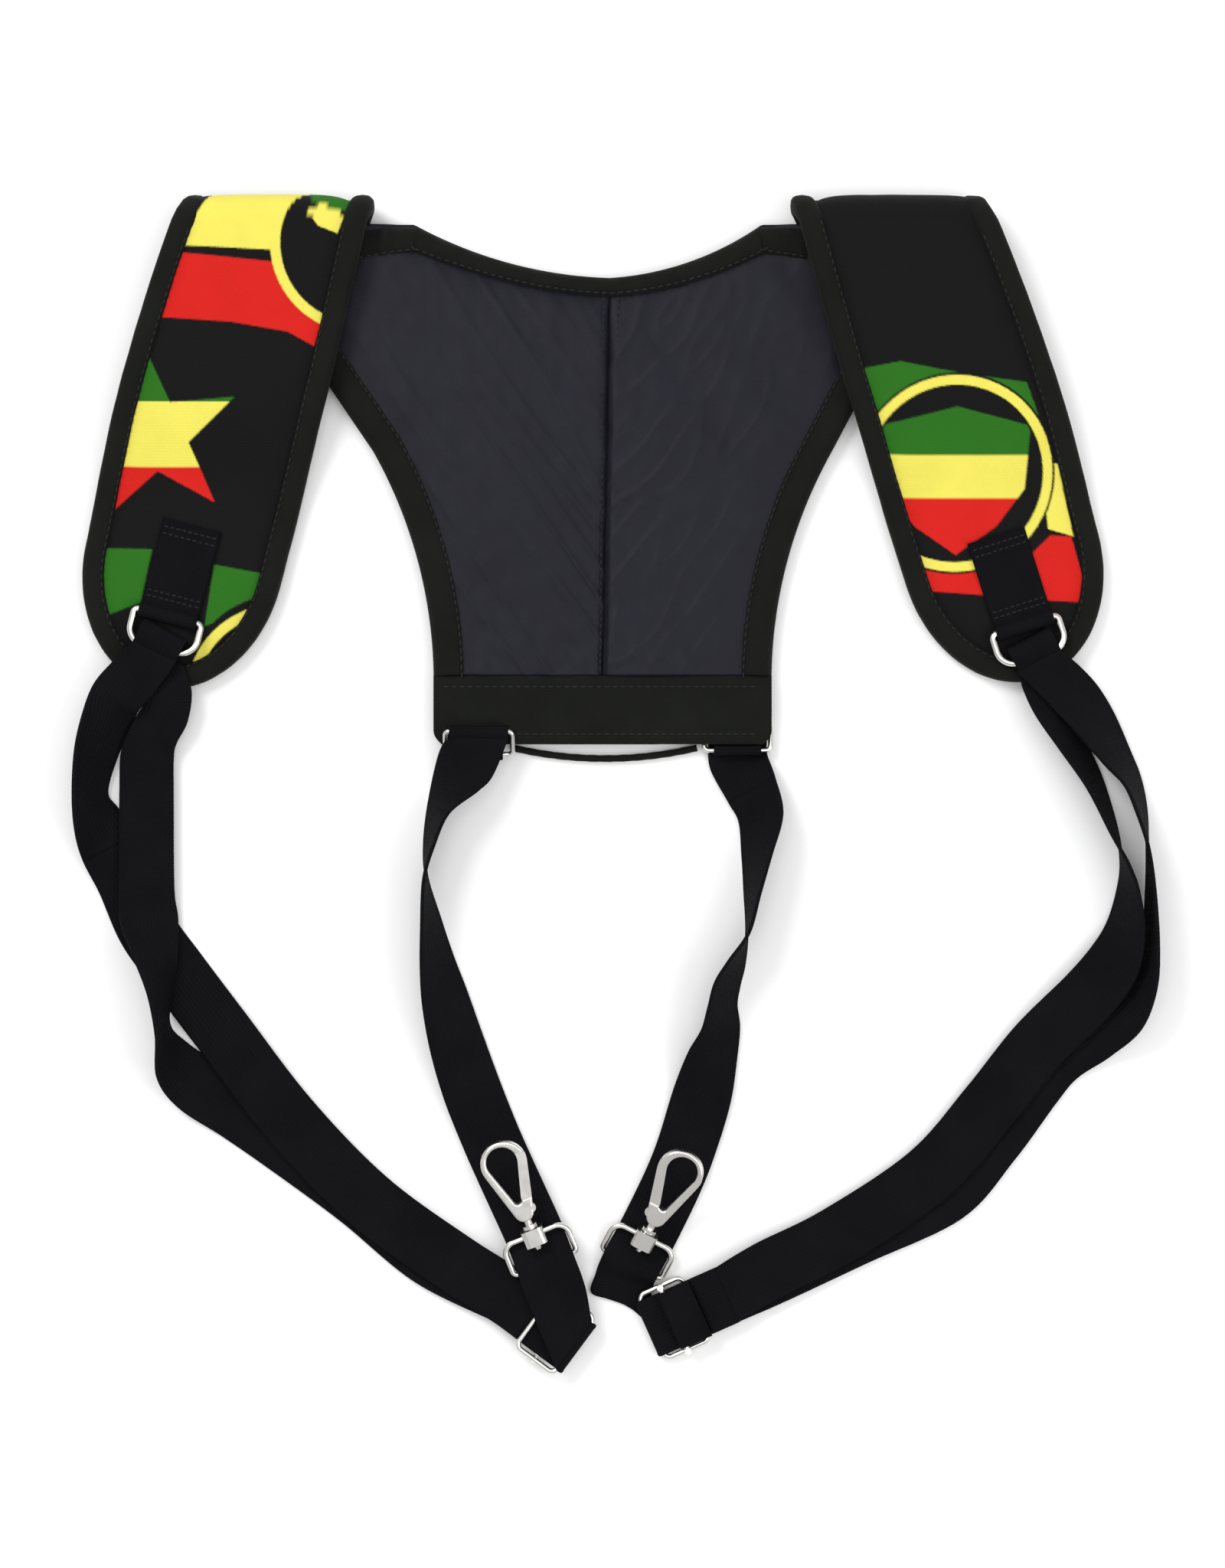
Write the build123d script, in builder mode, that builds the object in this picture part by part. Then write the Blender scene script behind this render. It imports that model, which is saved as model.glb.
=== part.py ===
from build123d import *
import math
import os

# A double-shoulder saxophone harness lying on its back: a padded yoke, two folded shoulder pads,
# four rings, two sliding buckles, two swivel snap hooks and the webbing that joins them.
# Millimetres. +X is to the right as the harness lies, +Y runs from the hooks to the shoulders
# and +Z points up. The origin is on the outer face of the back panel, on its centre line.

os.makedirs("parts", exist_ok=True)

# Webbing
web = 25.0
web_thick = 1.3
gap = 0.3
wrap = 0.2

# Back panel and its binding
panel_thick = 9.0
cloth = 1.2
lining = 1.0
binding_wall = 1.3
binding_lip = 13.0
band_half = 71.5
band_top = -70.8
band_height = 29.0
waist_x = 77.0
waist_y = -27.0
flare_y = 24.0
flare_x = 97.0
neck_depth = 34.0
fold_y = 131.5
fold_half = 36.0

# Shoulder pads: across (u) and along (v) from the fold
pad_thick = 9.0
pad_lip = 9.5
pad_outer = 46.0
pad_inner = 39.5
pad_round_from = 160.0
pad_length = 214.0
pad_waist = 70.0
pad_past = 25.0
fold_gap = 5.0
rest_on_yoke_y = 45.0
rest_on_floor_y = 2.0

# Shoulder rings and their tabs
ring_wire = 1.5
ring_inner = 26.0
ring_corner = 7.0
tab_length = 40.0
tab_across = 3.0
ring_lift = 0.6
bight_width = 20.0
bight_leg = 8.0
bight_back = 5.5
bight_clear = 2.4

# Rings at the hem
loop_wire = 1.1
loop_inner = 26.0
loop_reach = 11.1
keeper_width = 20.0
keeper_wall = 1.15
keeper_fit = 0.15
hem_corner = 6.0
hem_edge = 1.5
piping = 1.5

# Sliding buckles
slide_wire = 1.1
slide_inner = 27.0
slide_pitch = 10.0
slide_corner = 2.8
slide_post = 1.3
slide_loop_leg = 12.0
tail_to = 34.0
beside_ring = 40.0

# Swivel snap hooks
eye_wire = 1.25
eye_inner = 26.0
eye_reach = 13.5
eye_shoulder = 5.0
boss_width = 9.6
boss_length = 7.2
boss_under = 1.1
boss_over = 6.9
post_height = 2.9
post = 1.6
head = 2.3
head_length = 1.9
head_gap = 0.2
collar = 3.2
collar_length = 1.6
boss_corner = 2.2
hook_edge = 0.9
run_fit = 0.05
hook_top_y = 33.8
hook_top = 9.8
hook_foot_y = 11.5
hook_foot = 4.2
mouth_shift = 0.6
mouth_top_y = 34.6
mouth_top = 6.6
mouth_foot_y = 17.2
mouth_foot = 1.6
hook_thick = 4.4
gate_thick = 2.4
gate_side_play = 0.15
pivot_x = 3.4
pivot_y = 12.2
gate_boss = 2.2
gate_reach = 24.3
gate_play = 0.3
gate_sweep = 7.0
window_from = 16.0
pin = 0.8

# Heights that follow from the sizes above
fold_radius = (2 * pad_thick + fold_gap) / 2
arm_end_y = fold_y - fold_radius
turn = slide_wire + wrap
layer = turn + web_thick / 2
bar_step = 2 * (turn + web_thick) + gap
stack_low = gap + web_thick + turn
stack_high = stack_low + bar_step
tab_round = ring_wire + wrap + web_thick
ring_z = pad_thick + ring_lift + tab_round
bight_inner = ring_wire + gap
ring_crown = tab_round + bight_inner + web_thick + bight_clear
ring_reach = ring_crown + bight_back
keeper_round = loop_wire + keeper_fit + keeper_wall
loop_round = loop_wire + wrap + web_thick

# How each side lies. Angles are in degrees, counted from +X, for the way a piece points.
# Strap stops are (x, y, z, roll about the run, width), set out for a shoulder ring at laid_ring.
# Where a size moves the ring, the stops of its two legs move after it.
sides = {
    "left": {
        "sign": -1,
        "fold_x": 134.0,
        "lean": 14.5,
        "ring_back": 30.0,
        "laid_ring": (-182.97, -45.89, 12.6),
        "bight_heading": 243.0,
        "loop_hinge": (-52.1, -104.0, 8.0),
        "loop_pitch": 31.0,
        "eye_bar": (-24.0, -318.9, 9.1),
        "eye_heading": 112.0,
        "eye_pitch": 8.0,
        "slide_end": (-12.0, -353.9),
        "slide_heading": 143.5,
        "slide_up": 1,
        "front": [
            (-197.5, -72.0, 14.4, -10, 22),
            (-204.6, -80.0, 14.2, -10, 22),
            (-208.6, -89.0, 11.6, -40, web),
            (-213.6, -104.0, 11.6, -52, web),
            (-215.9, -121.0, 12.2, -62, web),
            (-213.6, -132.0, 9.4, -44, web),
            (-208.8, -144.0, 3.9, -14, web),
            (-202.0, -158.0, 1.2, 0, web),
            (-193.4, -178.0, 1.2, 0, web),
            (-180.8, -195.8, 1.0, 0, web),
            (-161.4, -221.1, 3.3, 0, web),
            (-132.8, -258.4, 3.5, 0, web),
            (-99.7, -292.5, 3.6, 0, web),
            (-64.3, -318.2, 4.9, 0, web),
        ],
        "rear": [
            (-186.6, -70.0, 10.6, 0, 21),
            (-183.2, -79.0, 10.6, 0, 20),
            (-184.6, -87.0, 9.2, 0, 20),
            (-189.3, -95.0, 7.0, 0, 20.5),
            (-192.6, -104.0, 5.2, 0, 22.5),
            (-193.0, -122.0, 5.2, 0, 23),
            (-193.0, -160.0, 5.2, 0, 23.5),
            (-191.6, -174.0, 7.4, -22, web),
            (-188.2, -189.0, 14.0, -50, web),
            (-186.0, -204.0, 14.8, -72, web),
            (-185.2, -220.0, 13.6, -83, web),
            (-181.6, -233.0, 10.8, -52, web),
            (-172.0, -244.0, 3.4, -12, web),
            (-154.0, -256.0, 1.2, 0, web),
            (-131.0, -272.0, 1.1, 0, web),
            (-103.2, -292.5, 1.1, 0, web),
            (-72.0, -318.0, 1.8, 0, web),
        ],
        "hook_top": [
            (-56.6, -106.4, 15.2, 0, web),
            (-61.2, -113.4, 13.6, 30, web),
        ],
        "hook": [
            (-69.0, -126.6, 12.6, 65, web),
            (-73.0, -141.9, 13.0, 78, web),
            (-74.6, -156.2, 13.1, 90, web),
            (-72.2, -175.3, 12.9, 107, web),
            (-69.8, -191.6, 11.9, 122, web),
            (-66.6, -207.1, 10.0, 138, web),
            (-61.7, -226.3, 6.9, 154, web),
            (-55.2, -246.8, 3.2, 171, web),
            (-47.7, -265.9, 1.6, 180, web),
            (-41.6, -279.5, 3.0, 180, web),
            (-35.5, -292.5, 4.8, 180, web),
            (-29.0, -306.5, 7.0, 180, web),
            (-24.0, -318.9, 11.5, 180, web),
            (-19.0, -333.0, stack_high + layer + 0.55, 180, web),
        ],
    },
    "right": {
        "sign": 1,
        "fold_x": 117.5,
        "lean": 17.5,
        "ring_back": 23.0,
        "laid_ring": (177.8, -49.76, 12.6),
        "bight_heading": 298.0,
        "loop_hinge": (57.1, -102.3, 4.5),
        "loop_pitch": -7.8,
        "eye_bar": (12.1, -320.0, 1.6),
        "eye_heading": 63.0,
        "eye_pitch": 14.0,
        "slide_end": (21.1, -346.8),
        "slide_heading": 24.0,
        "slide_up": -1,
        "front": [
            (192.6, -73.5, 14.6, -8, 21),
            (201.0, -82.0, 13.0, -24, 23),
            (208.5, -92.0, 12.2, -40, web),
            (217.2, -105.8, 12.5, -55, web),
            (223.2, -115.6, 12.8, -66, web),
            (227.0, -128.0, 13.0, -73, web),
            (229.6, -142.9, 13.1, -83, web),
            (230.8, -160.7, 13.1, -90, web),
            (230.7, -184.1, 13.1, -98, web),
            (227.6, -199.0, 12.4, -114, web),
            (220.6, -211.5, 8.6, -142, web),
            (208.0, -221.8, 3.2, -172, web),
            (193.2, -232.0, 1.1, -180, web),
            (182.5, -244.5, 1.1, -180, web),
            (164.9, -268.5, 1.1, -180, web),
            (145.5, -290.6, 1.1, -180, web),
            (106.8, -308.6, 1.6, -180, web),
            (72.0, -324.6, 3.4, -180, web),
        ],
        "rear": [
            (187.2, -73.5, 10.7, -6, 21),
            (191.5, -84.5, 11.4, -30, 23),
            (198.4, -100.0, 12.0, -56, web),
            (207.6, -117.0, 12.8, -67, web),
            (215.6, -137.0, 13.0, -77, web),
            (220.0, -150.3, 13.1, -90, web),
            (221.4, -162.0, 13.0, -104, web),
            (220.4, -177.0, 12.6, -122, web),
            (215.6, -191.5, 11.6, -146, web),
            (204.8, -206.5, 7.4, -172, web),
            (184.1, -227.6, 3.4, -180, web),
            (164.0, -252.9, 3.0, -180, web),
            (138.3, -282.0, 3.0, -180, web),
            (99.4, -308.0, 3.7, -180, web),
            (70.0, -322.4, 5.5, -180, web),
        ],
        "hook_top": [
            (57.2, -99.0, 1.0, 0, web),
            (57.8, -107.2, 1.0, 0, web),
        ],
        "hook": [
            (63.0, -119.0, 7.8, 30, web),
            (66.8, -130.8, 9.6, 44, web),
            (65.0, -146.8, 12.3, 63, web),
            (63.1, -162.3, 13.0, 77, web),
            (61.2, -178.6, 13.1, 90, web),
            (56.5, -191.6, 12.7, 108, web),
            (52.6, -201.0, 12.2, 117, web),
            (50.6, -210.0, 11.9, 120, web),
            (49.8, -219.6, 10.6, 130, web),
            (46.6, -230.5, 8.0, 146, web),
            (42.2, -248.7, 2.4, 176, web),
            (35.4, -271.1, 1.1, 180, web),
            (29.0, -287.0, 1.2, 180, web),
            (18.9, -307.6, 1.0, 180, web),
            (12.0, -320.0, 4.05, 180, web),
            (9.3, -326.8, 0.8, 180, web),
            (8.6, -334.5, 0.72, 180, web),
        ],
    },
}


def pointing(place, heading, pitch=0.0, up=1):
    """A plane at a place whose +Y points along a heading, raised by a pitch, with +Z up or down."""
    a, p = math.radians(heading), math.radians(pitch)
    run = Vector(math.cos(a) * math.cos(p), math.sin(a) * math.cos(p), math.sin(p))
    top = Vector(-math.cos(a) * math.sin(p), -math.sin(a) * math.sin(p), math.cos(p)) * up
    return Plane(origin=place, x_dir=run.cross(top), z_dir=top)


def at(frame, x, y, z=0.0):
    """A place that is given in a frame."""
    return frame.origin + frame.x_dir * x + frame.y_dir * y + frame.z_dir * z


def save(part, name):
    part.label = name
    export_step(part, f"parts/{name}.step")


def bar(start, end, radius):
    """A round bar between two places, added to the part in hand."""
    with BuildSketch(Plane(origin=start, z_dir=end - start)) as profile:
        Circle(radius)
    extrude(profile.sketch, amount=(end - start).length)


def wire_loop(frame, inner, reach, near_radius, far_radius, wire):
    """A bent wire ring: its near bar lies on the frame's X axis and its far bar is reach away."""
    half = inner / 2 + wire
    corners = [(0, 0), (half, 0), (half, reach), (0, reach)]
    with BuildPart() as ring:
        with BuildLine(frame) as path:
            FilletPolyline(*corners, radius=[near_radius, far_radius])
        with BuildSketch(Plane(origin=path.line @ 0, z_dir=path.line % 0)):
            Circle(wire)
        sweep()
        mirror(about=Plane(origin=frame.origin, z_dir=frame.x_dir))
    return ring.part


def follow(stops, shift):
    """Strap stops moved with the ring: fully beside it, and less and less towards the buckle."""
    near, far = stops[0][1] - beside_ring, stops[-1][1]
    moved = []
    for x, y, z, roll, width in stops:
        share = min(1.0, (y - far) / (near - far))
        moved.append((x + shift.X * share, y + shift.Y * share, z + shift.Z * share, roll, width))
    return moved


def section_planes(stops):
    """A plane square to the run at each stop of a strap, rolled about the run."""
    places = [Vector(x, y, z) for x, y, z, roll, width in stops]
    planes = []
    for i, stop in enumerate(stops):
        run = (places[min(i + 1, len(stops) - 1)] - places[max(i - 1, 0)]).normalized()
        across = run.cross(Vector(0, 0, 1)).normalized()
        roll = math.radians(stop[3])
        rolled = across * math.cos(roll) - across.cross(run) * math.sin(roll)
        planes.append(Plane(origin=places[i], x_dir=rolled, z_dir=run))
    return planes


def strap(stops, first=None, last=None):
    """Webbing through a list of stops, with its end sections on given planes where it has them."""
    planes = section_planes(stops)
    widths = [stop[4] for stop in stops]
    if first:
        planes.insert(0, first[0])
        widths.insert(0, first[1])
    if last:
        planes.append(last[0])
        widths.append(last[1])
    facing = [planes[0]]
    for i in range(1, len(planes)):
        run = planes[i].origin - planes[i - 1].origin
        normal = planes[i].z_dir if planes[i].z_dir.dot(run) > 0 else planes[i].z_dir * -1
        across = planes[i].x_dir
        across = across if across.dot(facing[-1].x_dir) > 0 else across * -1
        facing.append(Plane(origin=planes[i].origin, x_dir=across, z_dir=normal))
    run = planes[1].origin - planes[0].origin
    if planes[0].z_dir.dot(run) < 0:
        facing[0] = Plane(
            origin=planes[0].origin, x_dir=planes[0].x_dir, z_dir=planes[0].z_dir * -1
        )
    with BuildPart() as length:
        for plane, width in zip(facing, widths):
            with BuildSketch(plane):
                Rectangle(width, web_thick)
        loft(ruled=True)
    return length.part


def fold_over(frame, inner, leg, width):
    """Webbing turned back round a bar: the turn's centre is the frame's origin, its legs run to +Y."""
    outer = inner + web_thick
    with BuildPart() as turned:
        with BuildSketch(Plane(origin=frame.origin, x_dir=frame.y_dir, z_dir=frame.x_dir)):
            Circle(outer)
            Circle(inner, mode=Mode.SUBTRACT)
            with Locations((outer, 0)):
                Rectangle(2 * outer, 3 * outer, mode=Mode.SUBTRACT)
            if leg:
                for side_of in (-1, 1):
                    with Locations((leg / 2, side_of * (inner + web_thick / 2))):
                        Rectangle(leg, web_thick)
        extrude(amount=width / 2, both=True)
    return turned.part


def panel_plan(below, above):
    """The yoke's outline, with its hem lowered and its two shoulder ends raised by given lengths."""
    left, right = sides["left"], sides["right"]
    l_out, l_in = (-left["fold_x"] - fold_half, fold_y), (-left["fold_x"] + fold_half, fold_y)
    r_in, r_out = (right["fold_x"] - fold_half, fold_y), (right["fold_x"] + fold_half, fold_y)
    neck = (3.0, fold_y - neck_depth)
    top = fold_y + above
    with BuildSketch() as plan:
        with BuildLine():
            Line((-band_half, band_top - below), (-band_half, band_top))
            ThreePointArc((-band_half, band_top), (-waist_x, waist_y), (-flare_x, flare_y))
            Polyline((-flare_x, flare_y), l_out, (l_out[0], top), (l_in[0], top), l_in)
            ThreePointArc(l_in, (-50, neck[1] + 9.5), neck)
            ThreePointArc(neck, (46, neck[1] + 10.5), r_in)
            Polyline(r_in, (r_in[0], top), (r_out[0], top), r_out, (flare_x, flare_y))
            ThreePointArc((flare_x, flare_y), (waist_x, waist_y), (band_half, band_top))
            Line((band_half, band_top), (band_half, band_top - below))
            Line((band_half, band_top - below), (-band_half, band_top - below))
        make_face()
    return plan.sketch


def pad_plan(side, inset):
    """A shoulder pad's outline seen from above, drawn past the fold and then brought in."""
    lean, sign = math.radians(side["lean"]), side["sign"]
    across = Vector(sign * math.cos(lean), math.sin(lean), 0)
    plane = Plane(origin=(sign * side["fold_x"], fold_y, 0), x_dir=across, z_dir=(0, 0, 1))
    down = -sign
    past = -pad_past
    middle = (pad_outer - pad_inner) / 2
    half = (pad_outer + pad_inner) / 2 - 1.0
    depth = pad_length - pad_round_from

    def rounded(degrees):
        t = math.radians(degrees)
        return (middle + half * math.cos(t), down * (pad_round_from + depth * math.sin(t)))

    with BuildSketch(plane) as plan:
        with BuildLine():
            for start in (0, 45, 90, 135):
                ThreePointArc(rounded(start), rounded(start + 22.5), rounded(start + 45))
            Polyline(
                rounded(180),
                (1.0 - pad_inner, down * pad_waist),
                (-fold_half, down * past),
                (fold_half, down * past),
            )
            ThreePointArc((fold_half, down * past), (pad_outer - 0.5, down * pad_waist), rounded(0))
        make_face()
        if inset:
            offset(amount=-inset)
    return plan.sketch


def pad_layer(outer, inner):
    """One layer of a folded pad across the whole width, between two depths under its outer face."""
    over = 2 * fold_radius
    slope = [(arm_end_y, over), (rest_on_yoke_y, panel_thick + gap + pad_thick)]
    floor = [(rest_on_floor_y, pad_thick), (fold_y - pad_length - 20, pad_thick)]
    top = slope + floor
    with BuildPart() as sheet:
        with BuildSketch(Plane.YZ):
            with BuildLine():
                ThreePointArc(
                    (arm_end_y, outer), (fold_y - outer, fold_radius), (arm_end_y, over - outer)
                )
                Polyline(*[(y, z - outer) for y, z in top])
                Line((top[-1][0], top[-1][1] - outer), (top[-1][0], top[-1][1] - inner))
                Polyline(*[(y, z - inner) for y, z in reversed(top)])
                ThreePointArc(
                    (arm_end_y, over - inner), (fold_y - inner, fold_radius), (arm_end_y, inner)
                )
                Line((arm_end_y, inner), (arm_end_y, outer))
            make_face()
        extrude(amount=260, both=True)
    return sheet.part


def egg(x, top, top_y, foot, foot_y, mode):
    """Two circles and the straight sides that touch both, drawn into the sketch in hand."""
    slope = math.asin((top - foot) / (top_y - foot_y))
    c, s = math.cos(slope), math.sin(slope)
    with Locations((x, top_y)):
        Circle(top, mode=mode)
    with Locations((x, foot_y)):
        Circle(foot, mode=mode)
    corners = [
        (x + top * c, top_y - top * s),
        (x + foot * c, foot_y - foot * s),
        (x - foot * c, foot_y - foot * s),
        (x - top * c, top_y - top * s),
    ]
    Polygon(*corners, align=None, mode=mode)


# Back panel: outer cloth, foam, two-piece lining and the binding round it
long_plan = panel_plan(40, 40)
arm_length_box = (2 * 260, arm_end_y - band_top)


def panel_sheet(bottom, top, inset):
    """A layer of the panel between two heights, brought in from its bound edges only."""
    with BuildPart() as sheet:
        with BuildSketch(Plane.XY.offset(bottom)):
            add(long_plan)
            if inset:
                offset(amount=-inset)
            with Locations((0, (arm_end_y + band_top) / 2)):
                Rectangle(*arm_length_box, mode=Mode.INTERSECT)
        extrude(amount=top - bottom)
    return sheet.part


back_cover = panel_sheet(0, cloth, binding_lip)
save(back_cover, "back_cover")
back_foam = panel_sheet(cloth, panel_thick - lining, binding_wall)
save(back_foam, "back_foam")
whole_lining = panel_sheet(panel_thick - lining, panel_thick, binding_lip)
whole_panel = panel_sheet(0, panel_thick, 0)

for name, x in (("left", -130.0), ("right", 130.0)):
    with BuildPart() as back_lining:
        add(whole_lining)
        with BuildSketch():
            with Locations((x, 0)):
                Rectangle(2 * abs(x), 600)
        extrude(amount=panel_thick, mode=Mode.INTERSECT)
    save(back_lining.part, f"back_lining_{name}")

with BuildPart() as rim:
    add(whole_panel)
    add(back_foam, mode=Mode.SUBTRACT)
    add(back_cover, mode=Mode.SUBTRACT)
    add(whole_lining, mode=Mode.SUBTRACT)
rim_solids = rim.part.solids().sort_by(Axis.X)
for name, solid in zip(
    ("side_binding_left", "neckline_binding", "side_binding_right"), rim_solids
):
    with BuildPart() as binding:
        add(solid)
    save(binding.part, name)

# Band along the hem, with a pocket under its right end for the ring that lies there
pocket_top = sides["right"]["loop_hinge"][2] + loop_wire + gap
pocket_x = sides["right"]["loop_hinge"][0] - loop_inner / 2 - 2 * loop_wire - 4
hem_y = band_top - band_height
with BuildPart() as bottom_band:
    with BuildSketch():
        with Locations((0, (band_top + hem_y) / 2)):
            Rectangle(2 * band_half, band_height)
    extrude(amount=panel_thick)
    fillet(bottom_band.edges().filter_by(Axis.Z).group_by(Axis.Y)[0], radius=hem_corner)
    fillet(bottom_band.faces().sort_by(Axis.Y)[0].edges().sort_by(Axis.Z)[-1], radius=hem_edge)
    with BuildSketch():
        with Locations((pocket_x + 50, hem_y + 10)):
            Rectangle(100, 34)
    extrude(amount=max(pocket_top, 2 * loop_round + 2 * gap), mode=Mode.SUBTRACT)
save(bottom_band.part, "bottom_band")

with BuildPart() as hem_piping:
    with BuildLine() as piping_run:
        ThreePointArc(
            (-38, hem_y - piping, piping + gap),
            (2, hem_y - piping - 4.5, piping + gap),
            (40, hem_y - piping, piping + gap),
        )
    with BuildSketch(Plane(origin=piping_run.line @ 0, z_dir=piping_run.line % 0)):
        Circle(piping)
    sweep()
save(hem_piping.part, "hem_piping")

for name, side in sides.items():
    sign = side["sign"]
    lean = math.radians(side["lean"])
    out = Vector(sign * math.cos(lean), math.sin(lean), 0)
    along = Vector(sign * math.sin(lean), -math.cos(lean), 0)
    fold = Vector(sign * side["fold_x"], fold_y, 0)
    pad_heading = math.degrees(math.atan2(along.Y, along.X))

    # Shoulder pad: printed cover, foam, backing cloth and the binding round it
    pad_sheets = {
        "shoulder_cover": (0, cloth, pad_lip),
        "shoulder_foam": (cloth, pad_thick - lining, binding_wall),
        "shoulder_backing": (pad_thick - lining, pad_thick, pad_lip),
    }
    made = []
    for sheet_name, (outer, inner, inset) in pad_sheets.items():
        plan, sheet = pad_plan(side, inset), pad_layer(outer, inner)
        with BuildPart() as pad_sheet:
            add(sheet)
            extrude(plan, amount=3 * fold_radius, mode=Mode.INTERSECT)
        made.append(pad_sheet.part)
        save(pad_sheet.part, f"{sheet_name}_{name}")
    plan, sheet = pad_plan(side, 0), pad_layer(0, pad_thick)
    with BuildPart() as shoulder_binding:
        add(sheet)
        extrude(plan, amount=3 * fold_radius, mode=Mode.INTERSECT)
        for piece in made:
            add(piece, mode=Mode.SUBTRACT)
    save(shoulder_binding.part, f"shoulder_binding_{name}")

    # Tab and shoulder ring
    bar_place = fold + out * tab_across + along * (pad_length - side["ring_back"])
    bar_place = bar_place + Vector(0, 0, ring_z)
    shift = bar_place - Vector(*side["laid_ring"])
    ring_frame = pointing(bar_place, pad_heading)
    with BuildPart() as ring_tab:
        with BuildSketch(pointing(bar_place - Vector(0, 0, ring_z - pad_thick), pad_heading)):
            with Locations((0, -tab_length / 2)):
                Rectangle(web, tab_length)
        extrude(amount=2 * web_thick)
        bar(at(ring_frame, -web / 2, 0), at(ring_frame, web / 2, 0), tab_round)
        with BuildSketch(Plane(origin=at(ring_frame, -web, 0), z_dir=ring_frame.x_dir)):
            Circle(ring_wire + wrap)
        extrude(amount=2 * web, mode=Mode.SUBTRACT)
    save(ring_tab.part, f"ring_tab_{name}")

    shoulder_ring = wire_loop(ring_frame, ring_inner, ring_reach, 2.0, ring_corner, ring_wire)
    save(shoulder_ring, f"shoulder_ring_{name}")

    crown = at(ring_frame, 0, ring_crown)
    bight_frame = pointing(crown, side["bight_heading"])
    ring_bight = fold_over(bight_frame, bight_inner, bight_leg, bight_width)
    save(ring_bight, f"ring_bight_{name}")

    # Ring at the hem, its keeper, and the webbing sewn round it
    hinge = Vector(*side["loop_hinge"])
    loop_frame = pointing(hinge, 90, side["loop_pitch"])
    link_low = max(pocket_top, hinge.Z - keeper_round) if sign > 0 else hinge.Z - 1.2
    link_high = hinge.Z + keeper_round if sign > 0 else panel_thick - 1.6
    with BuildPart() as loop_keeper:
        half_keeper = Vector(keeper_width / 2, 0, 0)
        bar(hinge - half_keeper, hinge + half_keeper, keeper_round)
        with BuildSketch(Plane.XY.offset(min(link_low, link_high))):
            with Locations((hinge.X, (hinge.Y + hem_y) / 2)):
                Rectangle(keeper_width, hem_y - hinge.Y)
        extrude(amount=abs(link_high - link_low))
        with BuildSketch(Plane(origin=hinge - Vector(web, 0, 0), z_dir=(1, 0, 0))):
            Circle(loop_wire + keeper_fit)
        extrude(amount=2 * web, mode=Mode.SUBTRACT)
    save(loop_keeper.part, f"loop_keeper_{name}")

    band_loop = wire_loop(loop_frame, loop_inner, loop_reach, 2.0, 2.0, loop_wire)
    save(band_loop, f"band_loop_{name}")

    far_bar = at(loop_frame, 0, loop_reach)
    tangent = far_bar + Vector(0, -1.6, -sign * (loop_round - web_thick / 2))
    with BuildPart() as band_bight:
        bar(far_bar - Vector(web / 2, 0, 0), far_bar + Vector(web / 2, 0, 0), loop_round)
        with BuildSketch(Plane(origin=tangent - Vector(0, 0, web_thick / 2))):
            Rectangle(web, 3.2)
        extrude(amount=web_thick)
        with BuildSketch(Plane(origin=far_bar - Vector(web, 0, 0), z_dir=(1, 0, 0))):
            Circle(loop_wire + wrap)
        extrude(amount=2 * web, mode=Mode.SUBTRACT)
    save(band_bight.part, f"band_bight_{name}")

    # Sliding buckle: two end bars level with each other, and the middle bar stepped to one side
    up = side["slide_up"]
    end_z = stack_high if up > 0 else stack_low
    slide_frame = pointing(Vector(*side["slide_end"], end_z), side["slide_heading"], 0, up)
    rail = slide_inner / 2 + slide_wire
    slide_ends = wire_loop(
        slide_frame, slide_inner, 2 * slide_pitch, slide_corner, slide_corner, slide_wire
    )
    with BuildPart() as slide_buckle:
        add(slide_ends)
        for x in (-rail, rail):
            top_of_post = at(slide_frame, x, slide_pitch)
            bar(top_of_post, at(slide_frame, x, slide_pitch, -bar_step - slide_post), slide_post)
        bar(
            at(slide_frame, -rail, slide_pitch, -bar_step),
            at(slide_frame, rail, slide_pitch, -bar_step),
            slide_wire,
        )
    save(slide_buckle.part, f"slide_buckle_{name}")

    middle = pointing(at(slide_frame, 0, slide_pitch, -bar_step), side["slide_heading"], 0, up)
    slide_loop = fold_over(middle, turn, slide_loop_leg, web)
    save(slide_loop, f"slide_loop_{name}")

    # Webbing: hook leg, front leg and rear leg
    def crossing(x, y, z):
        """A section plane square to the buckle's run, given in the buckle's frame."""
        return Plane(
            origin=at(slide_frame, x, y, z), x_dir=slide_frame.x_dir, z_dir=slide_frame.y_dir
        )

    def leaving(depth):
        """The plane where webbing leaves the ring's turn, above or below the ring."""
        place = at(bight_frame, 0, bight_leg + 0.9, depth)
        return Plane(origin=place, x_dir=-bight_frame.x_dir, z_dir=bight_frame.y_dir)

    top_stops = side["hook_top"] + side["hook"][:1]
    sewn = Plane(origin=tangent - Vector(0, 1.6, 0), x_dir=(1, 0, 0), z_dir=(0, -1, 0))
    hook_leg_top = strap(top_stops, first=(sewn, web))
    save(hook_leg_top, f"hook_leg_top_{name}")

    hook_stops = side["hook"]
    start = section_planes(side["hook_top"] + hook_stops[:1])[-1]
    hook_leg = strap(hook_stops[1:], first=(start, web), last=(crossing(0, 0, layer), web))
    save(hook_leg, f"hook_leg_{name}")

    front_z = -layer
    rear_z = -bar_step + layer
    ring_depth = bight_inner + web_thick / 2
    end_turn = fold_over(slide_frame, turn, 0, web)
    front_run = strap(
        follow(side["front"], shift),
        first=(leaving(ring_depth), bight_width),
        last=(crossing(0, tail_to, front_z), web),
    )
    with BuildPart() as front_leg:
        add(end_turn)
        add(front_run)
        with BuildSketch(crossing(0, 0, front_z)):
            Rectangle(web, web_thick)
        extrude(amount=tail_to)
    save(front_leg.part, f"front_leg_{name}")

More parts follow.
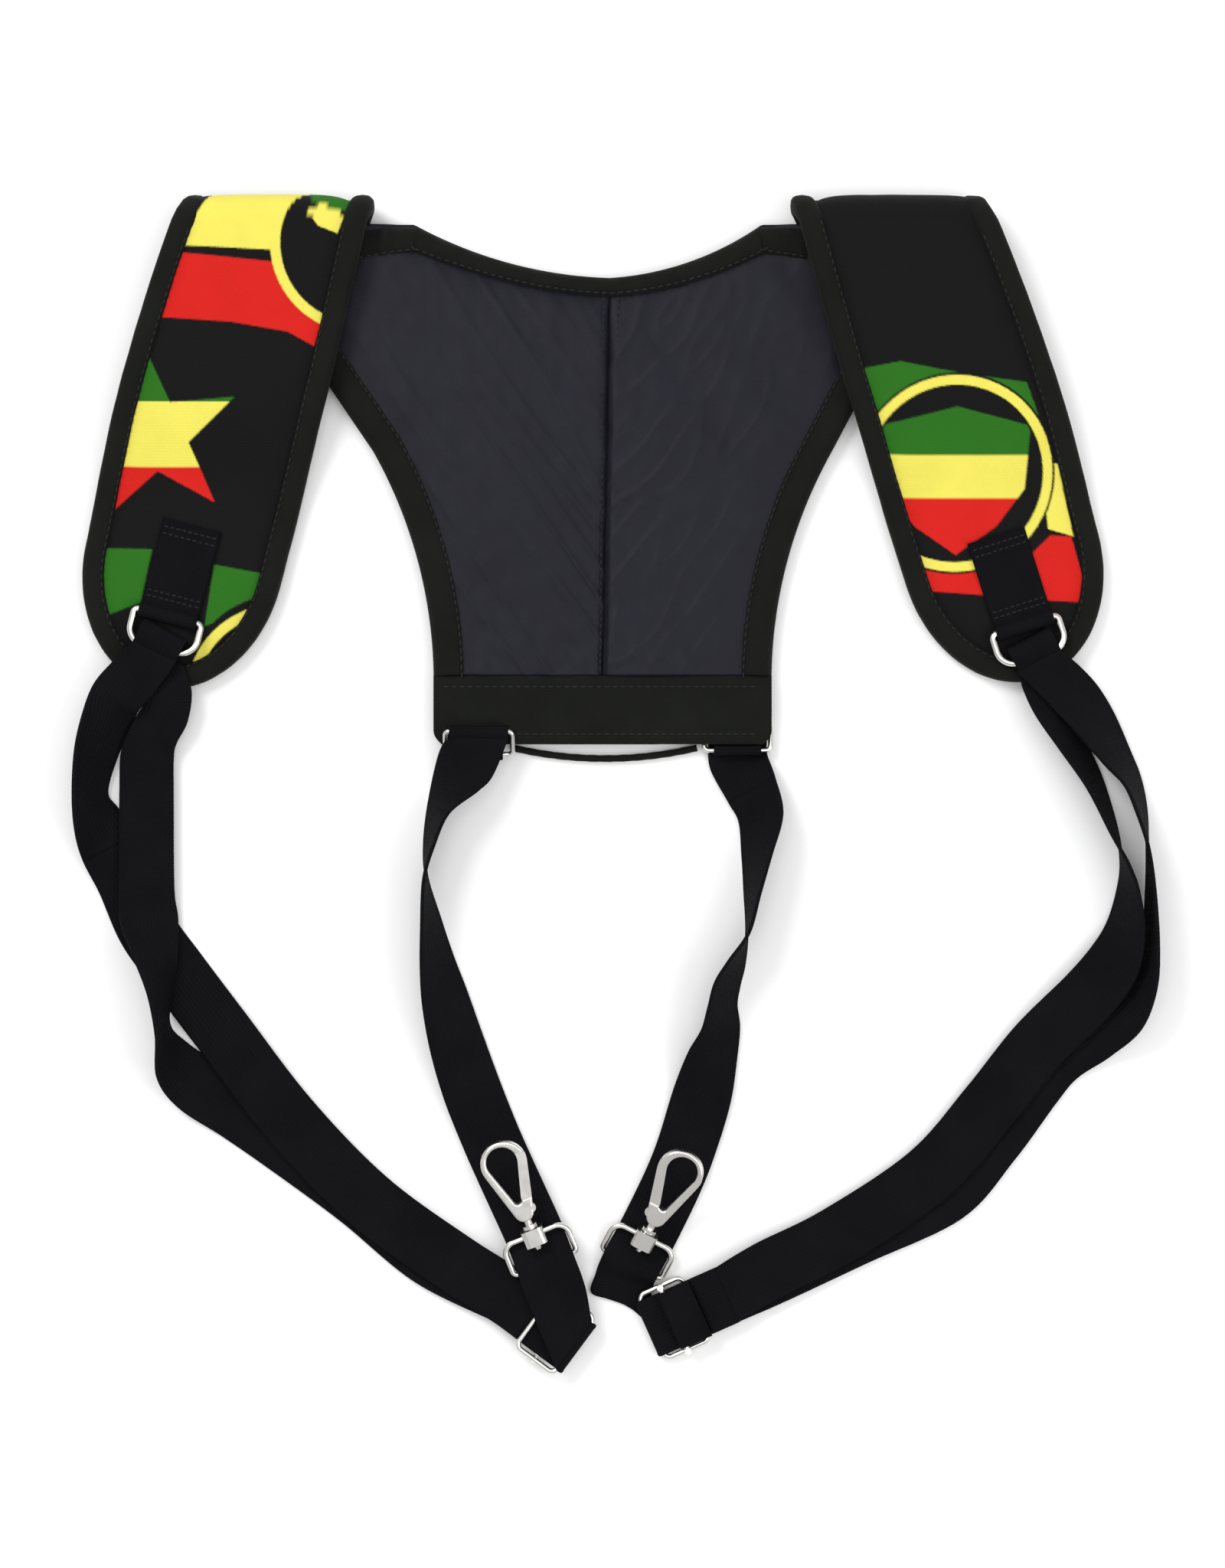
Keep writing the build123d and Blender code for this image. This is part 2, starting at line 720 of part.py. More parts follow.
    rear_leg = strap(
        follow(side["rear"], shift),
        first=(leaving(-ring_depth), bight_width),
        last=(crossing(0, tail_to, rear_z), web),
    )
    save(rear_leg, f"rear_leg_{name}")

    with BuildPart() as rear_tail:
        with BuildSketch(crossing(0, slide_pitch + slide_loop_leg, rear_z)):
            Rectangle(web, web_thick)
        extrude(amount=tail_to - slide_pitch - slide_loop_leg)
    save(rear_tail.part, f"rear_tail_{name}")

    # Swivel snap hook: eye, hook, gate and gate pin
    eye_frame = pointing(Vector(*side["eye_bar"]), side["eye_heading"], side["eye_pitch"])
    hook_frame = pointing(
        at(eye_frame, 0, eye_reach, post_height), side["eye_heading"], side["eye_pitch"]
    )
    gate_way = -sign
    eye_ring = wire_loop(eye_frame, eye_inner, eye_reach, 2.0, eye_shoulder, eye_wire)
    with BuildPart() as hook_eye:
        add(eye_ring)
        boss_plane = Plane(
            origin=at(eye_frame, 0, eye_reach - boss_length / 2, (boss_over - boss_under) / 2),
            x_dir=eye_frame.x_dir,
            z_dir=eye_frame.y_dir,
        )
        with BuildSketch(boss_plane):
            RectangleRounded(boss_width, boss_over + boss_under, boss_corner)
        extrude(amount=boss_length)
        post_plane = Plane(origin=at(hook_frame, 0, -20), z_dir=hook_frame.y_dir)
        with BuildSketch(post_plane):
            Circle(post + run_fit)
        extrude(amount=30, mode=Mode.SUBTRACT)
    save(hook_eye.part, f"hook_eye_{name}")

    pivot = (gate_way * pivot_x, pivot_y)
    with BuildPart() as hook_body:
        with BuildSketch(hook_frame):
            egg(0, hook_top, hook_top_y, hook_foot, hook_foot_y, Mode.ADD)
            egg(
                -gate_way * mouth_shift,
                mouth_top,
                mouth_top_y,
                mouth_foot,
                mouth_foot_y,
                Mode.SUBTRACT,
            )
        extrude(amount=hook_thick / 2, both=True)
        rims = [
            edge
            for edge in hook_body.edges()
            if abs((edge @ 0.5 - hook_frame.origin).dot(hook_frame.z_dir)) > 0.1
        ]
        fillet(rims, radius=hook_edge)
        with BuildSketch(hook_frame):
            with Locations(pivot):
                Circle(gate_reach + gate_play)
            with Locations((gate_way * 10.5, window_from + 20)):
                Rectangle(20, 40, mode=Mode.INTERSECT)
        extrude(amount=hook_thick, both=True, mode=Mode.SUBTRACT)
        with BuildSketch(hook_frame):
            with Locations(pivot):
                Circle(gate_sweep)
            with Locations((0, pivot_y + 20 - gate_boss)):
                Rectangle(60, 40, mode=Mode.INTERSECT)
            with Locations(pivot):
                Circle(gate_boss + 0.4)
        extrude(amount=gate_thick / 2 + gate_side_play, both=True, mode=Mode.SUBTRACT)
        with BuildSketch(hook_frame):
            with Locations(pivot):
                Circle(pin)
        extrude(amount=hook_thick, both=True, mode=Mode.SUBTRACT)
        bar(at(hook_frame, 0, -boss_length / 2 - 0.4), at(hook_frame, 0, hook_foot_y - 3), post)
        collar_at = at(hook_frame, 0, boss_length / 2 + gap)
        with BuildSketch(Plane(origin=collar_at, z_dir=hook_frame.y_dir)):
            Circle(collar)
        extrude(amount=collar_length)
        head_at = at(hook_frame, 0, -boss_length / 2 - head_gap)
        with BuildSketch(Plane(origin=head_at, z_dir=-hook_frame.y_dir)):
            Circle(head)
        extrude(amount=head_length, taper=25)
    save(hook_body.part, f"hook_body_{name}")

    with BuildPart() as hook_gate:
        with BuildSketch(hook_frame):
            egg(0, hook_top, hook_top_y, hook_foot, hook_foot_y, Mode.ADD)
            egg(
                -gate_way * mouth_shift,
                mouth_top,
                mouth_top_y,
                mouth_foot,
                mouth_foot_y,
                Mode.SUBTRACT,
            )
            with Locations((gate_way * (pivot_x - gate_boss + 10), pivot_y + 20)):
                Rectangle(20, 40, mode=Mode.INTERSECT)
            with Locations(pivot):
                Circle(gate_reach, mode=Mode.INTERSECT)
                Circle(gate_boss)
                Circle(pin + run_fit, mode=Mode.SUBTRACT)
        extrude(amount=gate_thick / 2, both=True)
    save(hook_gate.part, f"hook_gate_{name}")

    with BuildPart() as hook_pin:
        with BuildSketch(hook_frame):
            with Locations(pivot):
                Circle(pin)
        extrude(amount=hook_thick / 2, both=True)
    save(hook_pin.part, f"hook_pin_{name}")
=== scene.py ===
import math

import bpy
import numpy as np
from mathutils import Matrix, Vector, noise


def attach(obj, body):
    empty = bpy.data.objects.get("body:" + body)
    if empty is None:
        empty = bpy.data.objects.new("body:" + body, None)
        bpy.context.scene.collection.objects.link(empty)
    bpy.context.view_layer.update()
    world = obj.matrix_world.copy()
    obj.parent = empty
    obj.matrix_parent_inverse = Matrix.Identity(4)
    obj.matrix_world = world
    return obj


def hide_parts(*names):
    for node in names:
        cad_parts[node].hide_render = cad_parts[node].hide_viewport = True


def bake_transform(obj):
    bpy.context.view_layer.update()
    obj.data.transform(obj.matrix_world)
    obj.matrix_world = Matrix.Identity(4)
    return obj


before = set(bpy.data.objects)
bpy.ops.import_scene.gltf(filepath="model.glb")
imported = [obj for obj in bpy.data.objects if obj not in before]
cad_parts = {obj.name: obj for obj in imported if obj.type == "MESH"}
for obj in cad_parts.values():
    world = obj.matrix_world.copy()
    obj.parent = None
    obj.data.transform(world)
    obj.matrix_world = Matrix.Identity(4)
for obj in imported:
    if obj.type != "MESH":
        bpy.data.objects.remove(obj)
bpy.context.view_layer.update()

MM = 0.001

# ---------------------------------------------------------------- camera, light and floor
scene = bpy.context.scene
camera = bpy.data.objects.new("camera", bpy.data.cameras.new("camera"))
bpy.context.collection.objects.link(camera)
camera.location = (0.0042, -0.1166, 1.572)
camera.data.lens = 85
camera.data.sensor_width = 36
scene.camera = camera

floor_mesh = bpy.data.meshes.new("floor")
corners = [(-4, -4, -0.0004), (4, -4, -0.0004), (4, 4, -0.0004), (-4, 4, -0.0004)]
floor_mesh.from_pydata(corners, [], [(0, 1, 2, 3)])
floor = bpy.data.objects.new("floor", floor_mesh)
bpy.context.collection.objects.link(floor)


def area(name, place, target, size, watts):
    light = bpy.data.objects.new(name, bpy.data.lights.new(name, "AREA"))
    light.data.shape = "DISK"
    light.data.size = size
    light.data.energy = watts
    light.location = place
    light.rotation_euler = (Vector(target) - Vector(place)).to_track_quat("-Z", "Y").to_euler()
    bpy.context.collection.objects.link(light)


area("key", (-0.9, 0.9, 1.5), (0, -0.1, 0), 0.8, 17)
area("fill", (1.1, -0.5, 1.3), (0, -0.1, 0), 1.2, 9)
area("top", (0.0, -0.1, 2.2), (0, -0.1, 0), 1.6, 12)
world = bpy.data.worlds.new("studio")
scene.world = world
world.use_nodes = True
world.node_tree.nodes["Background"].inputs[0].default_value = (1, 1, 1, 1)
world.node_tree.nodes["Background"].inputs[1].default_value = 0.62
scene.view_settings.view_transform = "Standard"


# ---------------------------------------------------------------- materials
def material(name, colour, rough, metallic=0.0, sheen=0.0, specular=0.1):
    m = bpy.data.materials.new(name)
    m.use_nodes = True
    n = m.node_tree.nodes
    bsdf = n["Principled BSDF"]
    bsdf.inputs["Base Color"].default_value = (*colour, 1)
    bsdf.inputs["Roughness"].default_value = rough
    bsdf.inputs["Metallic"].default_value = metallic
    bsdf.inputs["Sheen Weight"].default_value = sheen
    bsdf.inputs["Specular IOR Level"].default_value = 0.5 if metallic else specular
    return m, m.node_tree, bsdf


def mottled(tree, bsdf, coords, base, other, scale, source=None):
    """Colour that drifts between two shades, or between a given colour and a darker one."""
    grain = tree.nodes.new("ShaderNodeTexNoise")
    grain.inputs["Scale"].default_value = scale
    grain.inputs["Detail"].default_value = 5
    tree.links.new(coords, grain.inputs["Vector"])
    mix = tree.nodes.new("ShaderNodeMix")
    mix.data_type = "RGBA"
    if source:
        mix.blend_type = "MULTIPLY"
        mix.inputs[0].default_value = 0.45
        ramp = tree.nodes.new("ShaderNodeValToRGB")
        ramp.color_ramp.elements[0].color = (0.62, 0.62, 0.62, 1)
        ramp.color_ramp.elements[1].color = (1, 1, 1, 1)
        tree.links.new(grain.outputs["Fac"], ramp.inputs["Fac"])
        tree.links.new(source, mix.inputs[6])
        tree.links.new(ramp.outputs["Color"], mix.inputs[7])
    else:
        mix.inputs[6].default_value = (*base, 1)
        mix.inputs[7].default_value = (*other, 1)
        tree.links.new(grain.outputs["Fac"], mix.inputs[0])
    tree.links.new(mix.outputs[2], bsdf.inputs["Base Color"])


def bump(tree, bsdf, heights, strength, distance):
    """Adds height outputs together and bumps the surface with them."""
    total = heights[0]
    for h in heights[1:]:
        add = tree.nodes.new("ShaderNodeMath")
        add.operation = "ADD"
        tree.links.new(total, add.inputs[0])
        tree.links.new(h, add.inputs[1])
        total = add.outputs[0]
    node = tree.nodes.new("ShaderNodeBump")
    node.inputs["Strength"].default_value = strength
    node.inputs["Distance"].default_value = distance
    tree.links.new(total, node.inputs["Height"])
    tree.links.new(node.outputs["Normal"], bsdf.inputs["Normal"])


def wave(tree, coords, direction, scale, distortion=0.0):
    w = tree.nodes.new("ShaderNodeTexWave")
    w.bands_direction = direction
    w.inputs["Scale"].default_value = scale
    w.inputs["Distortion"].default_value = distortion
    tree.links.new(coords, w.inputs["Vector"])
    return w.outputs["Fac"]


def cloth(name, base, other, rough, sheen, threads=420.0, strength=0.35, specular=0.1, attribute=None):
    m, tree, bsdf = material(name, base, rough, 0.0, sheen, specular)
    texco = tree.nodes.new("ShaderNodeTexCoord")
    coords = texco.outputs["Object"]
    source = None
    if attribute:
        colour = tree.nodes.new("ShaderNodeVertexColor")
        colour.layer_name = attribute
        source = colour.outputs["Color"]
    mottled(tree, bsdf, coords, base, other, 60, source)
    fuzz = tree.nodes.new("ShaderNodeTexNoise")
    fuzz.inputs["Scale"].default_value = 900
    tree.links.new(coords, fuzz.inputs["Vector"])
    heights = [wave(tree, coords, "X", threads, 1.0), wave(tree, coords, "Y", threads, 1.0),
        fuzz.outputs["Fac"]]
    bump(tree, bsdf, heights, strength, 0.0002)
    return m


floor_material, _, _ = material("floor", (0.93, 0.93, 0.93), 0.8)
floor_mesh.materials.append(floor_material)
print_cloth = cloth("print_cloth", (0.02, 0.02, 0.02), (0.05, 0.05, 0.05), 0.72, 0.02, 500, 0.3,
    attribute="print")
black_cloth = cloth("black_cloth", (0.0035, 0.004, 0.003), (0.009, 0.010, 0.008), 0.8, 0.03, 460, 0.5)
outer_cloth = cloth("outer_cloth", (0.003, 0.003, 0.0035), (0.008, 0.008, 0.009), 0.85, 0.03, 380, 0.5)
lining_cloth = cloth("lining_cloth", (0.0045, 0.0043, 0.0085), (0.0105, 0.0098, 0.018), 0.42, 0.01, 640,
    0.2, 0.14)
thread = cloth("thread", (0.012, 0.012, 0.014), (0.022, 0.022, 0.025), 0.6, 0.05, 900, 0.2)

webbing, tree, bsdf = material("webbing", (0.004, 0.004, 0.005), 0.85, 0.0, 0.0, 0.06)
texco = tree.nodes.new("ShaderNodeTexCoord")
mottled(tree, bsdf, texco.outputs["UV"], (0.0028, 0.0028, 0.0034), (0.008, 0.008, 0.010), 40)
bump(
    tree,
    bsdf,
    [wave(tree, texco.outputs["UV"], "X", 190, 0.4), wave(tree, texco.outputs["UV"], "Y", 330, 0.6)],
    0.75,
    0.00035,
)

nickel, tree, bsdf = material("nickel", (0.74, 0.72, 0.69), 0.2, 1.0)
texco = tree.nodes.new("ShaderNodeTexCoord")
wear = tree.nodes.new("ShaderNodeTexNoise")
wear.inputs["Scale"].default_value = 240
wear.inputs["Detail"].default_value = 8
tree.links.new(texco.outputs["Object"], wear.inputs["Vector"])
spread = tree.nodes.new("ShaderNodeMapRange")
spread.inputs["To Min"].default_value = 0.12
spread.inputs["To Max"].default_value = 0.34
tree.links.new(wear.outputs["Fac"], spread.inputs["Value"])
tree.links.new(spread.outputs["Result"], bsdf.inputs["Roughness"])
bump(tree, bsdf, [wear.outputs["Fac"]], 0.12, 0.0002)


# ---------------------------------------------------------------- mesh helpers
def piece(name, verts, faces, mat, body, nodes, uvs=None, colours=None):
    """A smooth mesh piece from millimetre points, on a body, standing for CAD nodes."""
    mesh = bpy.data.meshes.new(name)
    mesh.from_pydata([tuple(c * MM for c in v) for v in verts], [], faces)
    mesh.validate()
    if uvs is not None:
        layer = mesh.uv_layers.new(name="uv")
        for loop in mesh.loops:
            layer.data[loop.index].uv = uvs[loop.vertex_index]
    if colours is not None:
        layer = mesh.color_attributes.new("print", "FLOAT_COLOR", "POINT")
        layer.data.foreach_set("color", [v for c in colours for v in (*c, 1)])
    mesh.materials.append(mat)
    for poly in mesh.polygons:
        poly.use_smooth = True
    o = bpy.data.objects.new(name, mesh)
    bpy.context.collection.objects.link(o)
    if body:
        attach(o, body)
    if nodes:
        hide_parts(*nodes)
    return o


def grid_solid(top, bottom):
    """Vertices and faces of a closed solid from two grids of the same size."""
    rows, cols = len(top), len(top[0])
    verts = [p for row in top for p in row] + [p for row in bottom for p in row]
    half = rows * cols

    def t(i, j):
        return i * cols + j

    faces = []
    for i in range(rows - 1):
        for j in range(cols - 1):
            faces.append((t(i, j), t(i, j + 1), t(i + 1, j + 1), t(i + 1, j)))
            faces.append((half + t(i, j), half + t(i + 1, j), half + t(i + 1, j + 1), half + t(i, j + 1)))
    for i in range(rows - 1):
        for j in (0, cols - 1):
            quad = (t(i, j), t(i + 1, j), half + t(i + 1, j), half + t(i, j))
            faces.append(quad if j == 0 else quad[::-1])
    for j in range(cols - 1):
        for i in (0, rows - 1):
            quad = (t(i, j), half + t(i, j), half + t(i, j + 1), t(i, j + 1))
            faces.append(quad if i == 0 else quad[::-1])
    return verts, faces


def tube(path, section):
    """A closed solid from frames (centre, side, up) and a section function of (index, angle)."""
    count = 16
    verts, faces = [], []
    for i, (c, side, up) in enumerate(path):
        for k in range(count):
            a, b = section(i, 2 * math.pi * k / count)
            verts.append(tuple(c + side * a + up * b))
    for i in range(len(path) - 1):
        for k in range(count):
            n = (k + 1) % count
            faces.append((i * count + k, i * count + n, (i + 1) * count + n, (i + 1) * count + k))
    faces.append(tuple(range(count))[::-1])
    faces.append(tuple((len(path) - 1) * count + k for k in range(count)))
    return verts, faces


def pad_height(t):
    """Height of a folded pad's outer face at y, on its upper side."""
    points = [(160, 23.0), (120, 23.0), (82, 20.9), (45, 18.3), (22, 13.2), (2, 9.4), (-20, 9.0), (-120,
        9.0)]
    for i in range(len(points) - 1):
        (y0, z0), (y1, z1) = points[i], points[i + 1]
        if y1 <= t <= y0:
            m0 = (points[max(i - 1, 0)][1] - z1) / (points[max(i - 1, 0)][0] - y1)
            far = points[min(i + 2, len(points) - 1)]
            m1 = (z0 - far[1]) / (y0 - far[0])
            h = y1 - y0
            s = (t - y0) / h
            z = (2 * s**3 - 3 * s**2 + 1) * z0 + (s**3 - 2 * s**2 + s) * h * m0
            return z + ((-2 * s**3 + 3 * s**2) * z1 + (s**3 - s**2) * h * m1)
    return points[-1][1]


def stitches(name, points, ups, body, pitch=3.4, length=2.3):
    """Short raised stitches along a line of points."""
    verts, faces = [], []
    travel, nxt = 0.0, 0.0
    for i in range(len(points) - 1):
        a, b = points[i], points[i + 1]
        run = (b - a).length
        if run < 1e-6:
            continue
        d = (b - a) / run
        side = d.cross(ups[i]).normalized() * 0.32
        while nxt <= travel + run:
            c = a + d * (nxt - travel) + ups[i] * 0.12
            base = len(verts)
            for along, wide, tall in (
                (-0.5, 0.0, -0.15), (-0.34, 1.0, 0.12), (-0.34, -1.0, 0.12), (-0.3, 0.0, 0.3),
                (0.3, 0.0, 0.3), (0.34, 1.0, 0.12), (0.34, -1.0, 0.12), (0.5, 0.0, -0.15),
            ):
                verts.append(tuple(c + d * (along * length) + side * wide + ups[i] * tall))
            f = [(0, 1, 3), (0, 3, 2), (1, 5, 4, 3), (3, 4, 6, 2), (7, 4, 5), (7, 6, 4), (0, 2, 6, 7, 5, 1)]
            faces += [tuple(base + k for k in q) for q in f]
            nxt += pitch
        travel += run
    if verts:
        piece(name, verts, faces, thread, body, ())


# ---------------------------------------------------------------- shoulder pads
PADS = {
    "left": {"sign": -1, "x": -134.0, "lean": 14.5},
    "right": {"sign": 1, "x": 117.5, "lean": 17.5},
}
FOLD_Y = 131.5
FOLD_START = 120.0  # where the fold's bend begins
FOLD_RADIUS = 11.5
ROLL = 7.0  # the binding's own turn round the fold
PAD_REACH = 131.0
HALF_PAD = 4.5
YELLOW = (0.80, 0.72, 0.11)
RED = (0.62, 0.014, 0.010)
GREEN = (0.022, 0.145, 0.010)
BLACK = (0.0045, 0.0045, 0.005)


def pad_axes(name):
    p = PADS[name]
    a = math.radians(p["lean"])
    across = Vector((p["sign"] * math.cos(a), math.sin(a)))
    along = Vector((p["sign"] * math.sin(a), -math.cos(a)))
    return Vector((p["x"], FOLD_Y)), across, along


def pad_outline(name):
    """The pad's outline in plan, from the inner side past the fold, round the end, to the outer."""
    origin, n, d = pad_axes(name)
    uv = []
    for k in range(40):
        v = -25 + (160 + 25) * k / 40
        uv.append((-36 + (-2.5) * min((v + 25) / 95, 1.0), v))
    for k in range(61):
        t = math.pi - math.pi * k / 60
        uv.append((3.25 + 41.75 * math.cos(t), 160 + 54 * math.sin(t)))
    for k in range(1, 41):
        v = 160 - 185 * k / 40
        s = (v + 25) / 185
        uv.append((36 + s * (1 - s) * 20.0 + 9.0 * s, v))
    return [origin + n * u + d * v for u, v in uv]


def inside(poly, x, y):
    """Which of the points x, y lie inside a polygon."""
    hit = np.zeros(x.shape, bool)
    for (x0, y0), (x1, y1) in zip(poly, poly[1:] + poly[:1]):
        if y0 != y1:
            hit ^= ((y0 > y) != (y1 > y)) & (x < (x1 - x0) * (y - y0) / (y1 - y0) + x0)
    return hit


def stroke(line, half, x, y):
    """Which of the points x, y lie within half a width of a line."""
    near = np.full(x.shape, 1e9)
    for (x0, y0), (x1, y1) in zip(line, line[1:]):
        run = (x1 - x0) ** 2 + (y1 - y0) ** 2
        t = np.clip(((x - x0) * (x1 - x0) + (y - y0) * (y1 - y0)) / run, 0, 1)
        near = np.minimum(near, np.hypot(x - x0 - t * (x1 - x0), y - y0 - t * (y1 - y0)))
    return near < half


def through(a, b, c, steps):
    """Points on the circle arc from a through b to c."""
    ax, ay, bx, by, cx, cy = *a, *b, *c
    k = 2 * (ax * (by - cy) + bx * (cy - ay) + cx * (ay - by))
    ux = ((ax**2 + ay**2) * (by - cy) + (bx**2 + by**2) * (cy - ay) + (cx**2 + cy**2) * (ay - by)) / k
    uy = ((ax**2 + ay**2) * (cx - bx) + (bx**2 + by**2) * (ax - cx) + (cx**2 + cy**2) * (bx - ax)) / k
    r = math.hypot(ax - ux, ay - uy)
    t0, t1, t2 = (math.atan2(y - uy, x - ux) for x, y in (a, b, c))
    turn = (t2 - t0) % (2 * math.pi)
    if (t1 - t0) % (2 * math.pi) > turn:
        turn -= 2 * math.pi
    angles = [t0 + turn * i / steps for i in range(steps + 1)]
    return [(ux + r * math.cos(t), uy + r * math.sin(t)) for t in angles]


def star(x, y, r, turn):
    points = []
    for k in range(10):
        a = math.radians(turn + 36 * k)
        rad = r if k % 2 == 0 else r * 0.4
        points.append((x + rad * math.sin(a), y + rad * math.cos(a)))
    return points


# The printed shapes, in plan: (kind, points, size, colour), later ones over earlier ones.
RING = [
    (148.7 + 39 * math.cos(math.radians(t)), 14 + 39 * math.sin(math.radians(t)))
    for t in range(-128, 200, 6)
]
PRINTS = {
    "left": [
        ("fill", [(-162, 140), (-122, 140), (-130, 128), (-138, 107), (-176, 109)], 0, YELLOW),
        ("fill", [(-176, 106), (-137, 102), (-129, 91), (-118, 77), (-121, 67), (-132, 73), (-155, 77),
            (-190, 79.5)], 0, RED),
        ("fill", through((-120, 140), (-137, 110), (-112, 76), 24) + [(-80, 76), (-80, 140)], 0, BLACK),
        ("line", through((-120, 140), (-137, 110), (-112, 76), 24), 2.1, YELLOW),
        ("fill", [(-124, 140), (-92, 140), (-100, 127), (-112, 125), (-122, 129)], 0, GREEN),
        ("fill", [(-124, 124), (-117, 127), (-108, 122), (-111, 114), (-119, 117)], 0, YELLOW),
        ("bands", star(-189, 30.5, 38, -6), (44, 17), None),
        ("fill", [(-214, -17), (-190, -17.5), (-195, -40), (-214, -47)], 0, GREEN),
        ("fill", [(-164, -24), (-142, -28), (-150, -43), (-168, -50)], 0, GREEN),
        ("line", through((-148, -42), (-160, -49), (-171, -66), 16), 3.4, BLACK),
        ("line", through((-147, -44), (-160, -51), (-172, -68), 16), 2.1, YELLOW),
    ],
    "right": [
        ("fill", [(104, 57), (113, 58.4), (125, 60.7), (138.6, 58), (155.5, 55), (178, 52), (190, 20),
            (104, 20)], 0, GREEN),
        ("fill", [(185, 20), (192, 18), (199, -12), (188, -9)], 0, YELLOW),
        ("fill", [(181, -19.5), (189, -11.7), (198, -12), (206, -40), (185, -39)], 0, RED),
        ("fill", [(128, -24), (160, -27), (162, -37), (132, -34.7)], 0, RED),
        ("fill", RING, 0, BLACK),
        ("bands", [(117, 34), (149, 42), (180, 34), (178, 8), (166, -8), (149, -20), (132, -8), (119, 8)],
            (22, 4), None),
        ("line", RING, 3.0, BLACK),
        ("line", RING, 2.0, YELLOW),
    ],
}


def printed(name, x, y):
    """Print colour at points in plan, averaged over a small spot so that edges stay smooth."""
    total = np.zeros(x.shape + (3,))
    spots = [(0.0, 0.0), (0.22, 0.08), (-0.08, 0.22), (-0.22, -0.08), (0.08, -0.22)]
    for dx, dy in spots:
        px, py = x + dx, y + dy
        layer = np.empty(x.shape + (3,))
        layer[:] = BLACK
        for kind, points, size, colour in PRINTS[name]:
            hit = stroke(points, size, px, py) if kind == "line" else inside(points, px, py)
            if kind == "bands":
                layer[hit] = GREEN
                layer[hit & (py <= size[0])] = YELLOW
                layer[hit & (py <= size[1])] = RED
            else:
                layer[hit] = colour
        total += layer
    return total / len(spots)


